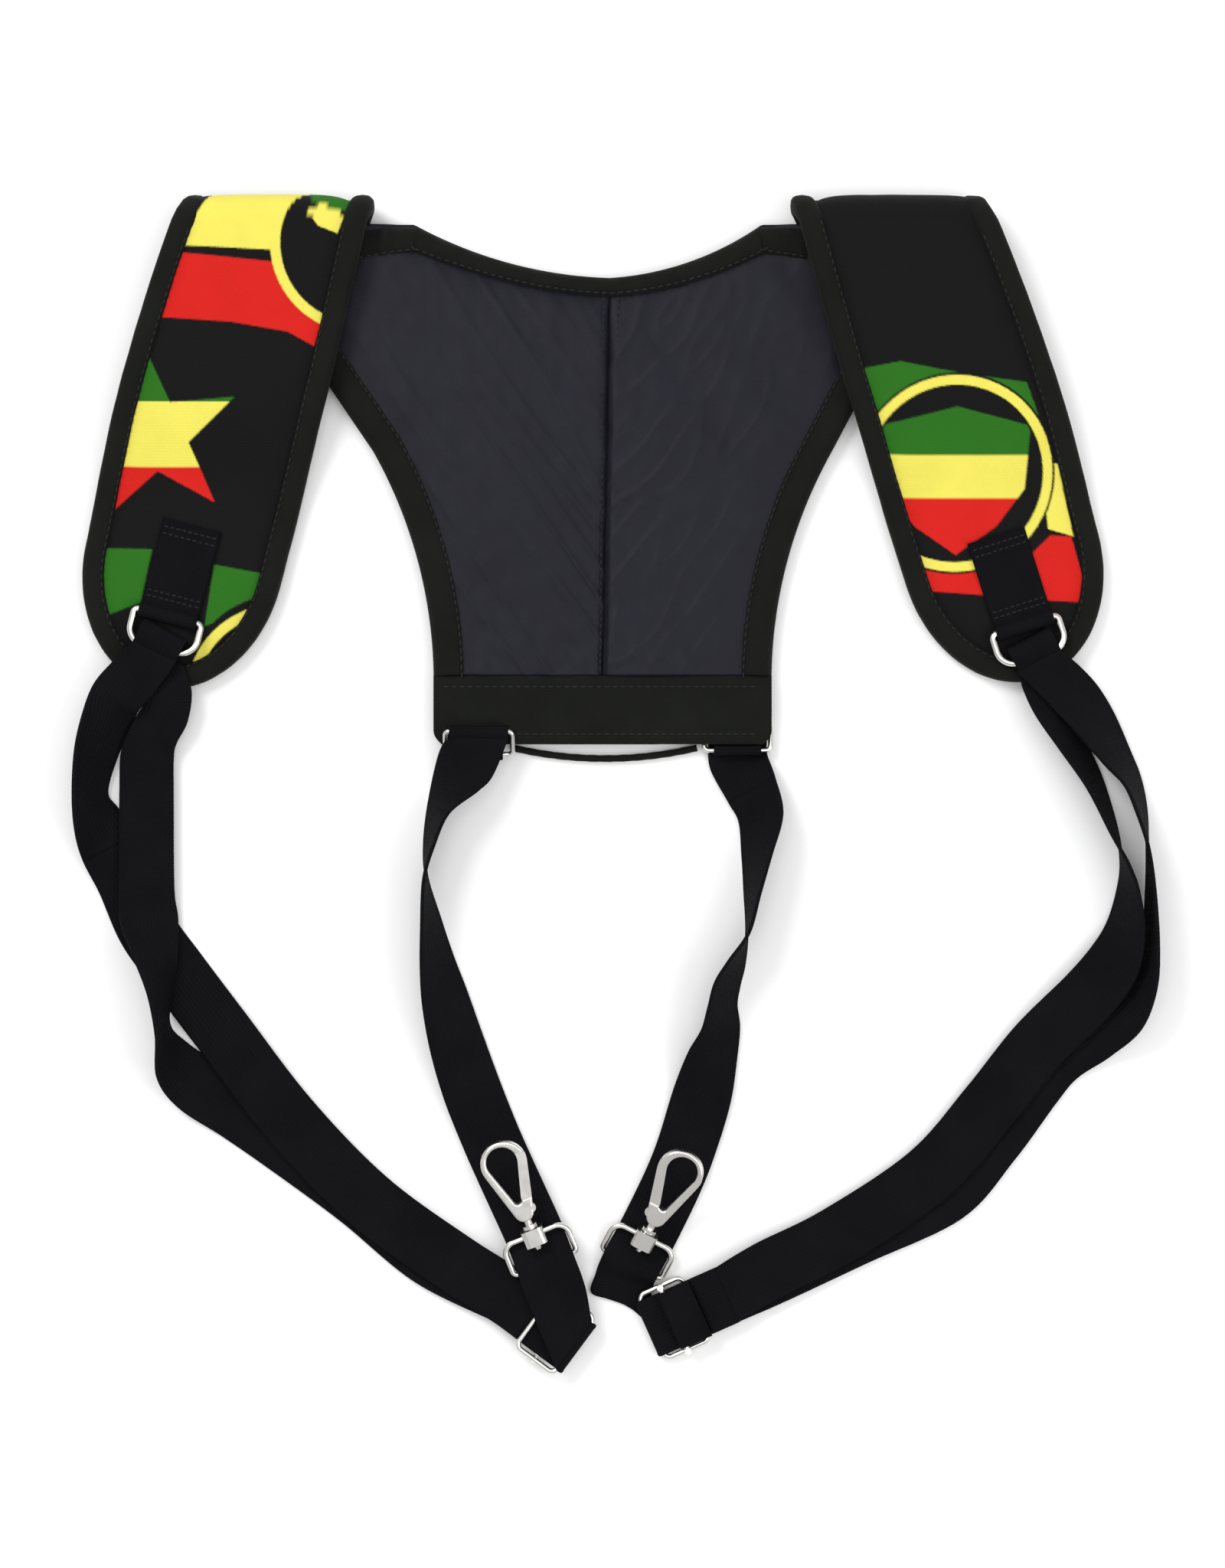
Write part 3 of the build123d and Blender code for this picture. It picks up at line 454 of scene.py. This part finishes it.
def make_pad(name):
    """A stuffed pad with its printed cover, its rolled binding and the stitches along it."""
    outline = pad_outline(name)
    sign = PADS[name]["sign"]
    xs = np.array([p.x for p in outline])
    ys = np.array([p.y for p in outline])

    def limits(y):
        found = []
        for i in range(len(outline) - 1):
            a, b = outline[i], outline[i + 1]
            if (a.y - y) * (b.y - y) <= 0 and abs(a.y - b.y) > 1e-9:
                found.append(a.x + (b.x - a.x) * (y - a.y) / (b.y - a.y))
        return min(found), max(found)

    # Rows: round the fold from underneath, then along the upper side to the end
    low = min(ys) + 0.7
    rows = []
    for k in range(13):
        t = math.radians(-90 + 15 * k)
        c, s = math.cos(t), math.sin(t)
        wrap = FOLD_RADIUS * (t - math.pi / 2)
        rows.append((FOLD_START + FOLD_RADIUS * c, FOLD_RADIUS + FOLD_RADIUS * s, c, s, wrap))
    steps = 330
    for k in range(1, steps + 1):
        s = k / steps
        eased = s if s < 0.9 else 0.9 + 0.1 * math.sin((s - 0.9) / 0.1 * math.pi / 2)
        y = FOLD_START + (low - FOLD_START) * eased
        slope = pad_height(y + 0.5) - pad_height(y - 0.5)
        length = math.hypot(slope, 1)
        rows.append((y, pad_height(y), -slope / length, 1 / length, None))
    cols = 150
    top, bottom, place = [], [], []
    seg = np.stack([xs, ys], 1)
    for y, z, ny, nz, wrap_length in rows:
        left, right = limits(min(y, PAD_REACH))
        inset = min(4.2, (right - left) * 0.3)
        row_top, row_bottom = [], []
        for j in range(cols):
            w = j / (cols - 1)
            x = left + inset + (right - left - 2 * inset) * w
            dist = np.min(np.hypot(seg[:, 0] - x, seg[:, 1] - min(y, 118.0)))
            soft = 1 - math.exp(-max(dist - 7.5, 0) / 5.0)
            crease = noise.noise(Vector((x * 0.035, y * 0.05, 3.1 * sign))) * 0.7
            crease += noise.noise(Vector((x * 0.11, y * 0.03, 9.0))) * 0.28
            thick = 5.6 + 3.4 * soft
            lift = -1.2 + 2.0 * soft + crease * soft
            mid_y, mid_z = y - ny * HALF_PAD, z - nz * HALF_PAD
            up_by, down_by = thick / 2 + lift, thick / 2
            if wrap_length is not None:
                up_by, down_by = thick / 2 + lift * 0.4, min(thick / 2, 4.0)
            row_top.append((x, mid_y + ny * up_by, mid_z + nz * up_by))
            row_bottom.append((x, mid_y - ny * down_by, max(mid_z - nz * down_by, 0.4)))
            place.append((x, y if wrap_length is None else FOLD_START - wrap_length))
        top.append(row_top)
        bottom.append(row_bottom)
    verts, faces = grid_solid(top, bottom)
    spots = np.array(place)
    paint = printed(name, spots[:, 0], spots[:, 1])
    colours = [tuple(c) for c in paint] + [BLACK] * len(place)
    o = piece(
        f"pad_{name}", verts, faces, print_cloth, "harness",
        (f"shoulder_cover_{name}", f"shoulder_foam_{name}", f"shoulder_backing_{name}"), None, colours,
    )

    # The binding: a flattened roll of cloth that follows the pad's edge, gathered a little
    def round_fold(degrees, end):
        """The binding's middle and its up direction where it goes round the fold."""
        c, s = math.cos(math.radians(degrees)), math.sin(math.radians(degrees))
        x = limits(min(FOLD_START + FOLD_RADIUS * c, PAD_REACH))[end]
        return Vector((x, FOLD_START + ROLL * c, FOLD_RADIUS + ROLL * s)), Vector((0, c, s))

    inner = 0 if sign < 0 else 1
    path = [round_fold(-90 + 30 * k, inner) for k in range(7)]
    loop = [p for p in outline if p.y < 119]
    if (loop[0].x - path[-1][0].x) ** 2 > (loop[-1].x - path[-1][0].x) ** 2:
        loop = loop[::-1]
    for p in loop:
        slope = pad_height(p.y + 0.5) - pad_height(p.y - 0.5)
        up = Vector((0, -slope, 1)).normalized()
        path.append((Vector((p.x, p.y, pad_height(p.y))) - up * HALF_PAD, up))
    path += [round_fold(90 - 30 * k, 1 - inner) for k in range(7)]
    centre = Vector((sum(p.x for p in outline) / len(outline), 40, 0))
    frames, line, line_up = [], [], []
    for i, (c, up) in enumerate(path):
        run = path[min(i + 1, len(path) - 1)][0] - path[max(i - 1, 0)][0]
        side = up.cross(run).normalized()
        to_middle = Vector((centre.x - c.x, centre.y - c.y if c.y < 40 else 0, 0))
        if side.dot(to_middle) < 0:
            side = -side
        frames.append((c + side * 4.6, side, up))
        line.append(c + side * 8.2 + up * 4.1)
        line_up.append(up)

    def section(i, a):
        pucker = 1 + 0.07 * noise.noise(Vector((i * 0.5, a * 1.5, sign)))
        c, s = math.cos(a), math.sin(a)
        wide = 5.0 * math.copysign(abs(c) ** 0.7, c) * (1 + (pucker - 1) * 0.3)
        tall = 4.6 * math.copysign(abs(s) ** 0.7, s) * pucker
        return wide, tall

    verts, faces = tube(frames, section)
    verts = [(x, y, max(z, 0.35)) for x, y, z in verts]
    piece(f"pad_binding_{name}", verts, faces, black_cloth, "harness",
        (f"shoulder_binding_{name}",))
    stitches(f"pad_stitches_{name}", line[7:-7], line_up[7:-7], "harness")


make_pad("left")
make_pad("right")


# ---------------------------------------------------------------- yoke
LEFT_EDGE = through((-71.5, -70.8), (-77, -27), (-97, 24), 30)
LEFT_EDGE += [(-97 - 73 * k / 24, 24 + 107.5 * k / 24) for k in range(1, 25)]
RIGHT_EDGE = through((71.5, -70.8), (77, -27), (97, 24), 30)
RIGHT_EDGE += [(97 + 56.5 * k / 24, 24 + 107.5 * k / 24) for k in range(1, 25)]
NECK = through((-98, 131.5), (-50, 107), (3, 97.5), 24)
NECK += through((3, 97.5), (46, 108), (81.5, 131.5), 24)[1:]


def resample(line, count):
    """Points spaced evenly along a line."""
    p = np.array(line, float)
    run = np.concatenate([[0], np.cumsum(np.hypot(*np.diff(p, axis=0).T))])
    t = np.linspace(0, run[-1], count)
    return np.stack([np.interp(t, run, p[:, 0]), np.interp(t, run, p[:, 1])], 1)


def away(points, line):
    """Distance from each point to a line."""
    p = resample(line, 260)
    gap = points[..., None, :] - p
    return np.sqrt((gap**2).sum(-1)).min(-1)


def below(line, high):
    """A line's part under a height, with a point added on that height."""
    kept = []
    for (x0, y0), (x1, y1) in zip(line, line[1:]):
        if y0 <= high:
            kept.append((x0, y0))
        if (y0 - high) * (y1 - high) < 0:
            kept.append((x0 + (x1 - x0) * (high - y0) / (y1 - y0), high))
    if line[-1][1] <= high:
        kept.append(line[-1])
    return kept


def yoke_half(name, edge, sign):
    """One half of the yoke: a patch between the centre seam, neckline, outer edge and hem."""
    neck = below([p for p in NECK if sign * (p[0] - 3) >= -0.01], FOLD_START)
    neck = neck if abs(neck[0][0] - 3) < 0.1 else neck[::-1]
    edge = below(edge, FOLD_START)
    rows, cols = 190, 110
    seam = resample([(0, -70.8), (3, 97.5)], rows)
    outer = resample(edge, rows)
    high = resample(neck + [edge[-1]], cols)
    low = resample([(0, -70.8), edge[0]], cols)
    t, w = np.linspace(0, 1, rows)[:, None, None], np.linspace(0, 1, cols)[None, :, None]
    plan = (1 - t) * low[None] + t * high[None] + (1 - w) * seam[:, None] + w * outer[:, None]
    plan -= (1 - t) * ((1 - w) * low[0] + w * low[-1]) + t * ((1 - w) * high[0] + w * high[-1])
    rim = np.minimum(away(plan, edge), away(plan, neck))
    middle = np.abs(plan[..., 0] - seam[:, None, 0])
    puff = 1 - np.exp(-np.maximum(rim - 6.5, 0) / 6.5)
    dip = 1 - 0.75 * np.exp(-((middle / 1.6) ** 2))
    top, bottom, outer_top, outer_bottom = [], [], [], []
    for i in range(rows):
        a_row, b_row, c_row, d_row = [], [], [], []
        for j in range(cols):
            x, y = plan[i, j]
            soft = puff[i, j]
            near_seam = math.exp(-middle[i, j] / 26)
            near_hem = math.exp(-(y + 70.8) / 22)
            ridge = noise.noise(Vector((x * 0.05 + y * 0.03, y * 0.022, 1.3 + sign)))
            slant = Vector((x * 0.075 - sign * y * 0.05, y * 0.02 + x * 0.02, 4.0))
            crease = 1 - abs(noise.noise(slant)) * 3.4
            small = noise.noise(Vector((x * 0.16, y * 0.11, 6.0)))
            creased = max(crease, 0) ** 2 * (0.28 + 0.5 * near_seam)
            fold = 0.8 * ridge + creased + small * (0.22 + 0.5 * near_hem)
            z = 5.6 + soft * (2.7 * dip[i, j] + fold * 0.85)
            a_row.append((x, y, min(z, 10.4)))
            b_row.append((x, y, 4.4))
            c_row.append((x, y, 4.3))
            d_row.append((x, y, 0.25 + 0.6 * (1 - soft)))
        top.append(a_row)
        bottom.append(b_row)
        outer_top.append(c_row)
        outer_bottom.append(d_row)
    v, f = grid_solid(top, bottom)
    o = piece(f"yoke_lining_{name}", v, f, lining_cloth, "harness", (f"back_lining_{name}",))
    v, f = grid_solid(outer_top, outer_bottom)
    nodes = ("back_cover", "back_foam") if sign < 0 else ()
    o = piece(f"yoke_outer_{name}", v, f, outer_cloth, "harness", nodes)


yoke_half("left", LEFT_EDGE, -1)
yoke_half("right", RIGHT_EDGE, 1)

UP = Vector((0, 0, 1))


def edge_binding(name, points, width, tall, inward, nodes, gather):
    """A rolled binding along an edge of the yoke."""
    pts = [Vector((x, y, 4.5)) for x, y in points]
    dense = []
    for a, b in zip(pts, pts[1:]):
        steps = max(1, int((b - a).length / 1.5))
        dense += [a + (b - a) * (k / steps) for k in range(steps)]
    dense.append(pts[-1])
    frames, line = [], []
    for i, c in enumerate(dense):
        run = dense[min(i + 1, len(dense) - 1)] - dense[max(i - 1, 0)]
        side = UP.cross(run).normalized() * inward
        s = i / (len(dense) - 1)
        w = width(s)
        frames.append((c + side * w * 0.5, side, UP, w))
        line.append(c + side * (w * 0.86) + UP * (tall - 0.2))

    def section(i, a):
        w = frames[i][3]
        c, s = math.cos(a), math.sin(a)
        pucker = 1 + gather * noise.noise(Vector((i * 0.55, math.sin(a) * 1.2, 2.0)))
        return w * 0.5 * math.copysign(abs(c) ** 0.8, c), tall * math.copysign(abs(s) ** 0.8, s) * pucker

    v, f = tube([(c, a, b) for c, a, b, _ in frames], section)
    v = [(x, y, max(z, 0.3)) for x, y, z in v]
    piece(name, v, f, black_cloth, "harness", nodes)
    stitches(name + "_stitches", line, [UP] * len(line), "harness")


for side, edge, inward in (("left", LEFT_EDGE, -1), ("right", RIGHT_EDGE, 1)):
    line = below(edge, FOLD_START)
    edge_binding(f"yoke_binding_{side}", line, lambda s: 14.0, 4.6, inward, (f"side_binding_{side}",), 0.10)
edge_binding(
    "yoke_binding_neck",
    [(-150, 119.4), (-112, 119.4)] + below(NECK, 119) + [(98, 119.4), (135, 119.4)],
    lambda s: 8.0 + 8 * min(1, abs(2 * s - 1) * 1.5) ** 3,
    5.2,
    -1,
    ("neckline_binding",),
    0.30,
)

for offset, tag in ((-2.6, "a"), (3.4, "b")):
    seam_line = [Vector((1.5 + 1.5 * k / 60 + offset, -68 + 160 * k / 60, 8.1)) for k in range(61)]
    stitches(f"seam_stitches_{tag}", seam_line, [UP] * 61, "harness", 3.0, 2.0)


# The band along the hem and its piping
def band():
    top, bottom = [], []
    rows, cols = 26, 110
    for i in range(rows):
        y = -70.9 - 28.9 * i / (rows - 1)
        a_row, b_row = [], []
        end = max(0.0, (i / (rows - 1) - 0.8) / 0.2)
        half = 71.5 - 3.5 * end * end
        for j in range(cols):
            w = -1 + 2 * j / (cols - 1)
            x = w * half
            edge_soft = min(1, (1 - abs(w)) * 12) * min(1, i / 2.0 + 0.3)
            edge_soft *= min(1, (rows - 1 - i) / 2.0 + 0.2)
            z = 7.3 + 1.7 * edge_soft + 0.3 * noise.noise(Vector((x * 0.05, y * 0.1, 8)))
            deep = x > 24 and y < -71
            a_row.append((x, y, z))
            b_row.append((x, y, 6.3 if deep else 0.5))
        top.append(a_row)
        bottom.append(b_row)
    v, f = grid_solid(top, bottom)
    piece("hem_band", v, f, black_cloth, "harness", ("bottom_band",))
    for y in (-75.5, -95.5):
        pts = [Vector((-66 + 132 * k / 60, y, 8.95)) for k in range(61)]
        stitches(f"hem_stitches_{int(-y)}", pts, [UP] * 61, "harness")


band()
piping = through((-38, -101.3), (2, -105.8), (40, -101.3), 40)
frames = []
for i, (x, y) in enumerate(piping):
    a, b = piping[max(i - 1, 0)], piping[min(i + 1, 40)]
    run = Vector((b[0] - a[0], b[1] - a[1], 0)).normalized()
    frames.append((Vector((x, y, 1.85)), UP.cross(run), UP))
v, f = tube(frames, lambda i, a: (1.45 * math.cos(a) * (1 + 0.05 * math.sin(i * 1.9)), 1.45 * math.sin(a)))
piece("hem_cord", v, f, black_cloth, "harness", ("hem_piping",))


# ---------------------------------------------------------------- webbing
WEB, THICK = 25.0, 1.3


class Frame:
    """A place with axes: y along the heading, z up or down, x across."""

    def __init__(self, origin, heading, pitch=0.0, up=1):
        a, p = math.radians(heading), math.radians(pitch)
        self.o = Vector(origin)
        self.y = Vector((math.cos(a) * math.cos(p), math.sin(a) * math.cos(p), math.sin(p)))
        self.z = Vector((-math.cos(a) * math.sin(p), -math.sin(a) * math.sin(p), math.cos(p))) * up
        self.x = self.y.cross(self.z)

    def at(self, x, y, z=0.0):
        return self.o + self.x * x + self.y * y + self.z * z


def stations(stops):
    """(centre, across, width) at each stop, with the across directions kept facing one way."""
    places = [Vector(s[:3]) for s in stops]
    out = []
    for i, s in enumerate(stops):
        run = (places[min(i + 1, len(stops) - 1)] - places[max(i - 1, 0)]).normalized()
        a = run.cross(UP).normalized()
        r = math.radians(s[3])
        a = a * math.cos(r) - a.cross(run) * math.sin(r)
        out.append((places[i], a, s[4]))
    return out


def align(items):
    out = [items[0]]
    for c, a, w in items[1:]:
        out.append((c, a if a.dot(out[-1][1]) > 0 else -a, w))
    return out


def smooth(items, steps=9):
    """More sections between the given ones, on a smooth curve."""
    items = align(items)
    out = []
    for i in range(len(items) - 1):
        p0, p1, p2, p3 = (items[max(0, min(k, len(items) - 1))] for k in (i - 1, i, i + 1, i + 2))
        for k in range(steps):
            t = k / steps
            h = [
                -0.5 * t + t * t - 0.5 * t**3,
                1 - 2.5 * t * t + 1.5 * t**3,
                0.5 * t + 2 * t * t - 1.5 * t**3,
                -0.5 * t * t + 0.5 * t**3,
            ]
            edges = []
            for q in (-0.5, 0.5):
                e = Vector((0, 0, 0))
                for p, share in zip((p0, p1, p2, p3), h):
                    e += (p[0] + p[1] * (p[2] * q)) * share
                e.z = max(e.z, 0.78)
                edges.append(e)
            c, a = (edges[0] + edges[1]) / 2, edges[1] - edges[0]
            out.append((c, a.normalized(), a.length))
    out.append(items[-1])
    return out


def ribbon(name, items, nodes, body="harness"):
    """A woven strap with rolled edges through a list of sections."""
    items = align(items)
    # One closed ring per section: flat faces with a thickened selvedge at each edge
    shape = []
    for w in (-1.0, -0.94, -0.84, -0.5, 0.0, 0.5, 0.84, 0.94, 1.0):
        shape.append((w, 0.36 if abs(w) == 1 else (0.62 if abs(w) > 0.9 else 0.5)))
    ring = [(w, h) for w, h in shape] + [(w, -h) for w, h in reversed(shape)]
    verts, uvs, travel = [], [], 0.0
    for i, (c, a, width) in enumerate(items):
        nxt = items[min(i + 1, len(items) - 1)][0]
        prv = items[max(i - 1, 0)][0]
        run = (nxt - prv).normalized()
        if i:
            travel += (c - items[i - 1][0]).length
        up = a.cross(run).normalized()
        for w, h in ring:
            verts.append(tuple(c + a * (w * width / 2) + up * (h * THICK)))
            uvs.append((w * width / 2 * MM, travel * MM))
    n = len(ring)
    faces = []
    for i in range(len(items) - 1):
        for k in range(n):
            m = (k + 1) % n
            faces.append((i * n + k, (i + 1) * n + k, (i + 1) * n + m, i * n + m))
    faces.append(tuple(range(n)))
    faces.append(tuple((len(items) - 1) * n + k for k in range(n))[::-1])
    return piece(name, verts, faces, webbing, body, nodes, uvs)


def turn_round(fr, radius, leg, width, first=1):
    """Sections of webbing turned round a bar on the frame's X axis, open towards +Y."""
    out = []
    if leg:
        out.append((fr.at(0, leg, first * radius), fr.x, width))
    for k in range(17):
        t = math.radians(90 + 180 * k / 16)
        out.append((fr.at(0, radius * math.cos(t), first * radius * math.sin(t)), fr.x, width))
    if leg:
        out.append((fr.at(0, leg, -first * radius), fr.x, width))
    return out


def bend(o, body, start, end):
    """Bakes the webbing's placement into its mesh; body, start and end are not used."""
    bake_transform(o)


TURN = 1.3
LAYER = TURN + THICK / 2
STEP = 2 * (TURN + THICK) + 0.3
LOW = 0.3 + THICK + TURN
RING_Z = 9.0 + 0.6 + 3.0
RUNS = {
    "left": {
        "sign": -1, "ring_at": 184.0, "bight": 243.0, "hinge": (-52.1, -104.0, 8.0), "pitch": 31.0,
        "slide": (-12.0, -353.9, LOW + STEP), "heading": 143.5, "up": 1,
        "front": [(-197.5, -72, 14.4, -10, 22), (-204.6, -80, 14.2, -10, 22), (-208.6, -89, 11.6, -40, 25),
            (-213.6, -104, 11.6, -52, 25),
                  (-215.9, -121, 12.2, -62, 25), (-213.6, -132, 9.4, -44, 25), (-208.8, -144, 3.9, -14,
                      25), (-202, -158, 1.2, 0, 25),
                  (-193.4, -178, 1.2, 0, 25), (-180.8, -195.8, 1.0, 0, 25), (-161.4, -221.1, 3.3, 0, 25),
                      (-132.8, -258.4, 3.5, 0, 25),
                  (-99.7, -292.5, 3.6, 0, 25), (-64.3, -318.2, 4.9, 0, 25)],
        "rear": [(-186.6, -70, 10.6, 0, 21), (-183.2, -79, 10.6, 0, 20), (-184.6, -87, 9.2, 0, 20),
            (-189.3, -95, 7.0, 0, 20.5),
                 (-192.6, -104, 5.2, 0, 22.5), (-193, -122, 5.2, 0, 23), (-193, -160, 5.2, 0, 23.5),
                     (-191.6, -174, 7.4, -22, 25),
                 (-188.2, -189, 14, -50, 25), (-186, -204, 14.8, -72, 25), (-185.2, -220, 13.6, -83, 25),
                     (-181.6, -233, 10.8, -52, 25),
                 (-172, -244, 3.4, -12, 25), (-154, -256, 1.2, 0, 25), (-131, -272, 1.1, 0, 25), (-103.2,
                     -292.5, 1.1, 0, 25), (-72, -318, 1.8, 0, 25)],
        "top": [(-56.6, -106.4, 15.2, 0, 25), (-61.2, -113.4, 13.6, 30, 25)],
        "hook": [(-69, -126.6, 12.6, 65, 25), (-73, -141.9, 13, 78, 25), (-74.6, -156.2, 13.1, 90, 25),
            (-72.2, -175.3, 12.9, 107, 25),
                 (-69.8, -191.6, 11.9, 122, 25), (-66.6, -207.1, 10, 138, 25), (-61.7, -226.3, 6.9, 154,
                     25), (-55.2, -246.8, 3.2, 171, 25),
                 (-47.7, -265.9, 1.6, 180, 25), (-41.6, -279.5, 3, 180, 25), (-35.5, -292.5, 4.8, 180, 25),
                     (-29, -306.5, 7.0, 180, 25),
                 (-24, -318.9, 11.5, 180, 25), (-19, -333, 10.9, 180, 25)],
    },
    "right": {
        "sign": 1, "ring_at": 191.0, "bight": 298.0, "hinge": (57.1, -102.3, 4.5), "pitch": -7.8,
        "slide": (21.1, -346.8, LOW), "heading": 24.0, "up": -1,
        "front": [(192.6, -73.5, 14.6, -8, 21), (201, -82, 13, -24, 23), (208.5, -92, 12.2, -40, 25),
            (217.2, -105.8, 12.5, -55, 25),
                  (223.2, -115.6, 12.8, -66, 25), (227, -128, 13, -73, 25), (229.6, -142.9, 13.1, -83, 25),
                      (230.8, -160.7, 13.1, -90, 25),
                  (230.7, -184.1, 13.1, -98, 25), (227.6, -199, 12.4, -114, 25), (220.6, -211.5, 8.6, -142,
                      25), (208, -221.8, 3.2, -172, 25),
                  (193.2, -232, 1.1, -180, 25), (182.5, -244.5, 1.1, -180, 25), (164.9, -268.5, 1.1, -180,
                      25), (145.5, -290.6, 1.1, -180, 25),
                  (106.8, -308.6, 1.6, -180, 25), (72, -324.6, 3.4, -180, 25)],
        "rear": [(187.2, -73.5, 10.7, -6, 21), (191.5, -84.5, 11.4, -30, 23), (198.4, -100, 12, -56, 25),
            (207.6, -117, 12.8, -67, 25),
                 (215.6, -137, 13, -77, 25), (220, -150.3, 13.1, -90, 25), (221.4, -162, 13, -104, 25),
                     (220.4, -177, 12.6, -122, 25),
                 (215.6, -191.5, 11.6, -146, 25), (204.8, -206.5, 7.4, -172, 25), (184.1, -227.6, 3.4,
                     -180, 25), (164, -252.9, 3, -180, 25),
                 (138.3, -282, 3, -180, 25), (99.4, -308, 3.7, -180, 25), (70, -322.4, 5.5, -180, 25)],
        "top": [(57.2, -99, 1.0, 0, 25), (57.8, -107.2, 1.0, 0, 25)],
        "hook": [(63, -119, 7.8, 30, 25), (66.8, -130.8, 9.6, 44, 25), (65, -146.8, 12.3, 63, 25), (63.1,
            -162.3, 13, 77, 25),
                 (61.2, -178.6, 13.1, 90, 25), (56.5, -191.6, 12.7, 108, 25), (52.6, -201, 12.2, 117, 25),
                     (50.6, -210, 11.9, 120, 25),
                 (49.8, -219.6, 10.6, 130, 25), (46.6, -230.5, 8, 146, 25), (42.2, -248.7, 2.4, 176, 25),
                     (35.4, -271.1, 1.1, 180, 25),
                 (29, -287, 1.2, 180, 25), (18.9, -307.6, 1.0, 180, 25), (12.0, -320, 4.05, 180, 25), (9.3,
                     -326.8, 0.8, 180, 25),
                 (8.6, -334.5, 0.72, 180, 25)],
    },
}

for name, r in RUNS.items():
    sign = r["sign"]
    origin, n, d = pad_axes(name)
    at2 = origin + n * 3.0 + d * r["ring_at"]
    heading = math.degrees(math.atan2(d.y, d.x))
    ring = Frame((at2.x, at2.y, RING_Z), heading)
    bight = Frame(ring.at(0, 8.5), r["bight"])
    slide = Frame(r["slide"], r["heading"], 0, r["up"])
    loop = Frame(r["hinge"], 90, r["pitch"])

    # Round the shoulder ring, then the two legs
    depth = 1.8 + THICK / 2
    lift = (f"shoulder_ring_{name}", bight.at(0, 45), bight.at(0, 8.1))
    bend(ribbon(f"web_ring_{name}", turn_round(bight, depth, 8.0, 20), (f"ring_bight_{name}",), None),
        *lift)
    start = [(bight.at(0, 8.0, depth), bight.x, 20.0), (bight.at(0, 8.9, depth), bight.x, 20.0)]
    tail = [(slide.at(0, y, -LAYER), slide.x, WEB) for y in (34, 17, 0)]
    end = turn_round(slide, LAYER, 0, WEB, -1)[1:]
    front = smooth(start + stations(r["front"]) + tail) + end
    node = (f"front_leg_{name}",)
    bend(ribbon(f"web_front_{name}", front[:73], node, None), *lift)
    low = ribbon(f"web_front_low_{name}", front[72:], node, None)
    bend(low, f"slide_{name}", slide.at(0, 60), slide.at(0, 22))
    start = [(bight.at(0, 8.0, -depth), bight.x, 20.0), (bight.at(0, 8.9, -depth), bight.x, 20.0)]
    rear_z = -STEP + LAYER
    rear = smooth(start + stations(r["rear"]) + [(slide.at(0, 34, rear_z), slide.x, WEB)])
    bend(ribbon(f"web_rear_{name}", rear, (f"rear_leg_{name}",), None), *lift)
    tail = [(slide.at(0, y, rear_z), slide.x, WEB) for y in (34, 32, 30, 28, 26, 24, 22.2)]
    free = ribbon(f"web_tail_{name}", tail, (f"rear_tail_{name}",), None)
    bend(free, f"slide_{name}", slide.at(0, 34), slide.at(0, 22.2))
    middle = Frame(slide.at(0, 10, -STEP), r["heading"], 0, r["up"])
    ribbon(f"web_slide_loop_{name}", turn_round(middle, LAYER, 12, WEB), (f"slide_loop_{name}",),
        f"slide_{name}")

    # Round the hem ring, then down to the hook and the slide's end bar
    far = loop.at(0, 11.1)
    hem = Frame(far, 270, 0, -1 if sign > 0 else 1)
    fold = turn_round(hem, LAYER, 3.2, WEB)
    neck_of_turn = (far + Vector((0, -3.2, 0)), far + Vector((0, -1.3, 0)))
    bend(ribbon(f"web_hem_{name}", fold, (f"band_bight_{name}",), None), f"hem_ring_{name}", *neck_of_turn)
    leave = far + Vector((0, -3.2, -sign * LAYER))
    down = [(leave, Vector((1, 0, 0)), WEB)] + stations(r["top"] + r["hook"])
    k = 1 + len(r["top"])
    everything = smooth(down + [(slide.at(0, 0, LAYER), slide.x, WEB)])
    ribbon(f"web_hook_top_{name}", everything[: k * 9 + 1], (f"hook_leg_top_{name}",))
    last = (Vector(r["hook"][-1][:3]), slide.at(0, 0, LAYER))
    bend(ribbon(f"web_hook_{name}", everything[k * 9 :], (f"hook_leg_{name}",), None), f"slide_{name}",
        *last)

    # Tab and keeper: doubled webbing with rows of stitches
    tab = [(ring.at(0, -40 + 5 * i, -RING_Z + 9.0 + 1.6), ring.x, WEB) for i in range(8)]
    tab += [(ring.at(0, -3.2, 1.0 - RING_Z + 10.3), ring.x, WEB)]
    turn = [math.radians(150 - 30 * q) for q in range(9)]
    tab += [(ring.at(0, 2.5 * math.cos(t), 2.5 * math.sin(t)), ring.x, WEB) for t in turn]
    ribbon(f"web_tab_{name}", tab, (f"ring_tab_{name}",))
    for at_y in (-36.5, -33.5, -9, -6.5):
        pts = [ring.at(-10.5 + 21 * q / 20, at_y, -RING_Z + 11.35) for q in range(21)]
        stitches(f"tab_stitches_{name}_{int(-at_y * 10)}", pts, [UP] * 21, "harness", 2.6, 1.9)
    turn = [math.radians(-60 + 20 * q) for q in range(13)]
    keep = [(loop.at(0, 1.85 * math.cos(t), 1.85 * math.sin(t)), loop.x, 20.0) for t in turn]
    keep += [(Vector((r["hinge"][0], -100.2, min(r["hinge"][2] + 1.2, 8.0))), loop.x, 20.0)]
    ribbon(f"web_keeper_{name}", keep, (f"loop_keeper_{name}",))

# ---------------------------------------------------------------- hardware keeps its CAD shape
for side in ("left", "right"):
    for stem in ("shoulder_ring", "band_loop", "slide_buckle", "hook_eye", "hook_body", "hook_gate",
        "hook_pin"):
        o = bpy.data.objects.get(f"{stem}_{side}")
        if o is not None:
            for slot in o.material_slots:
                slot.material = nickel
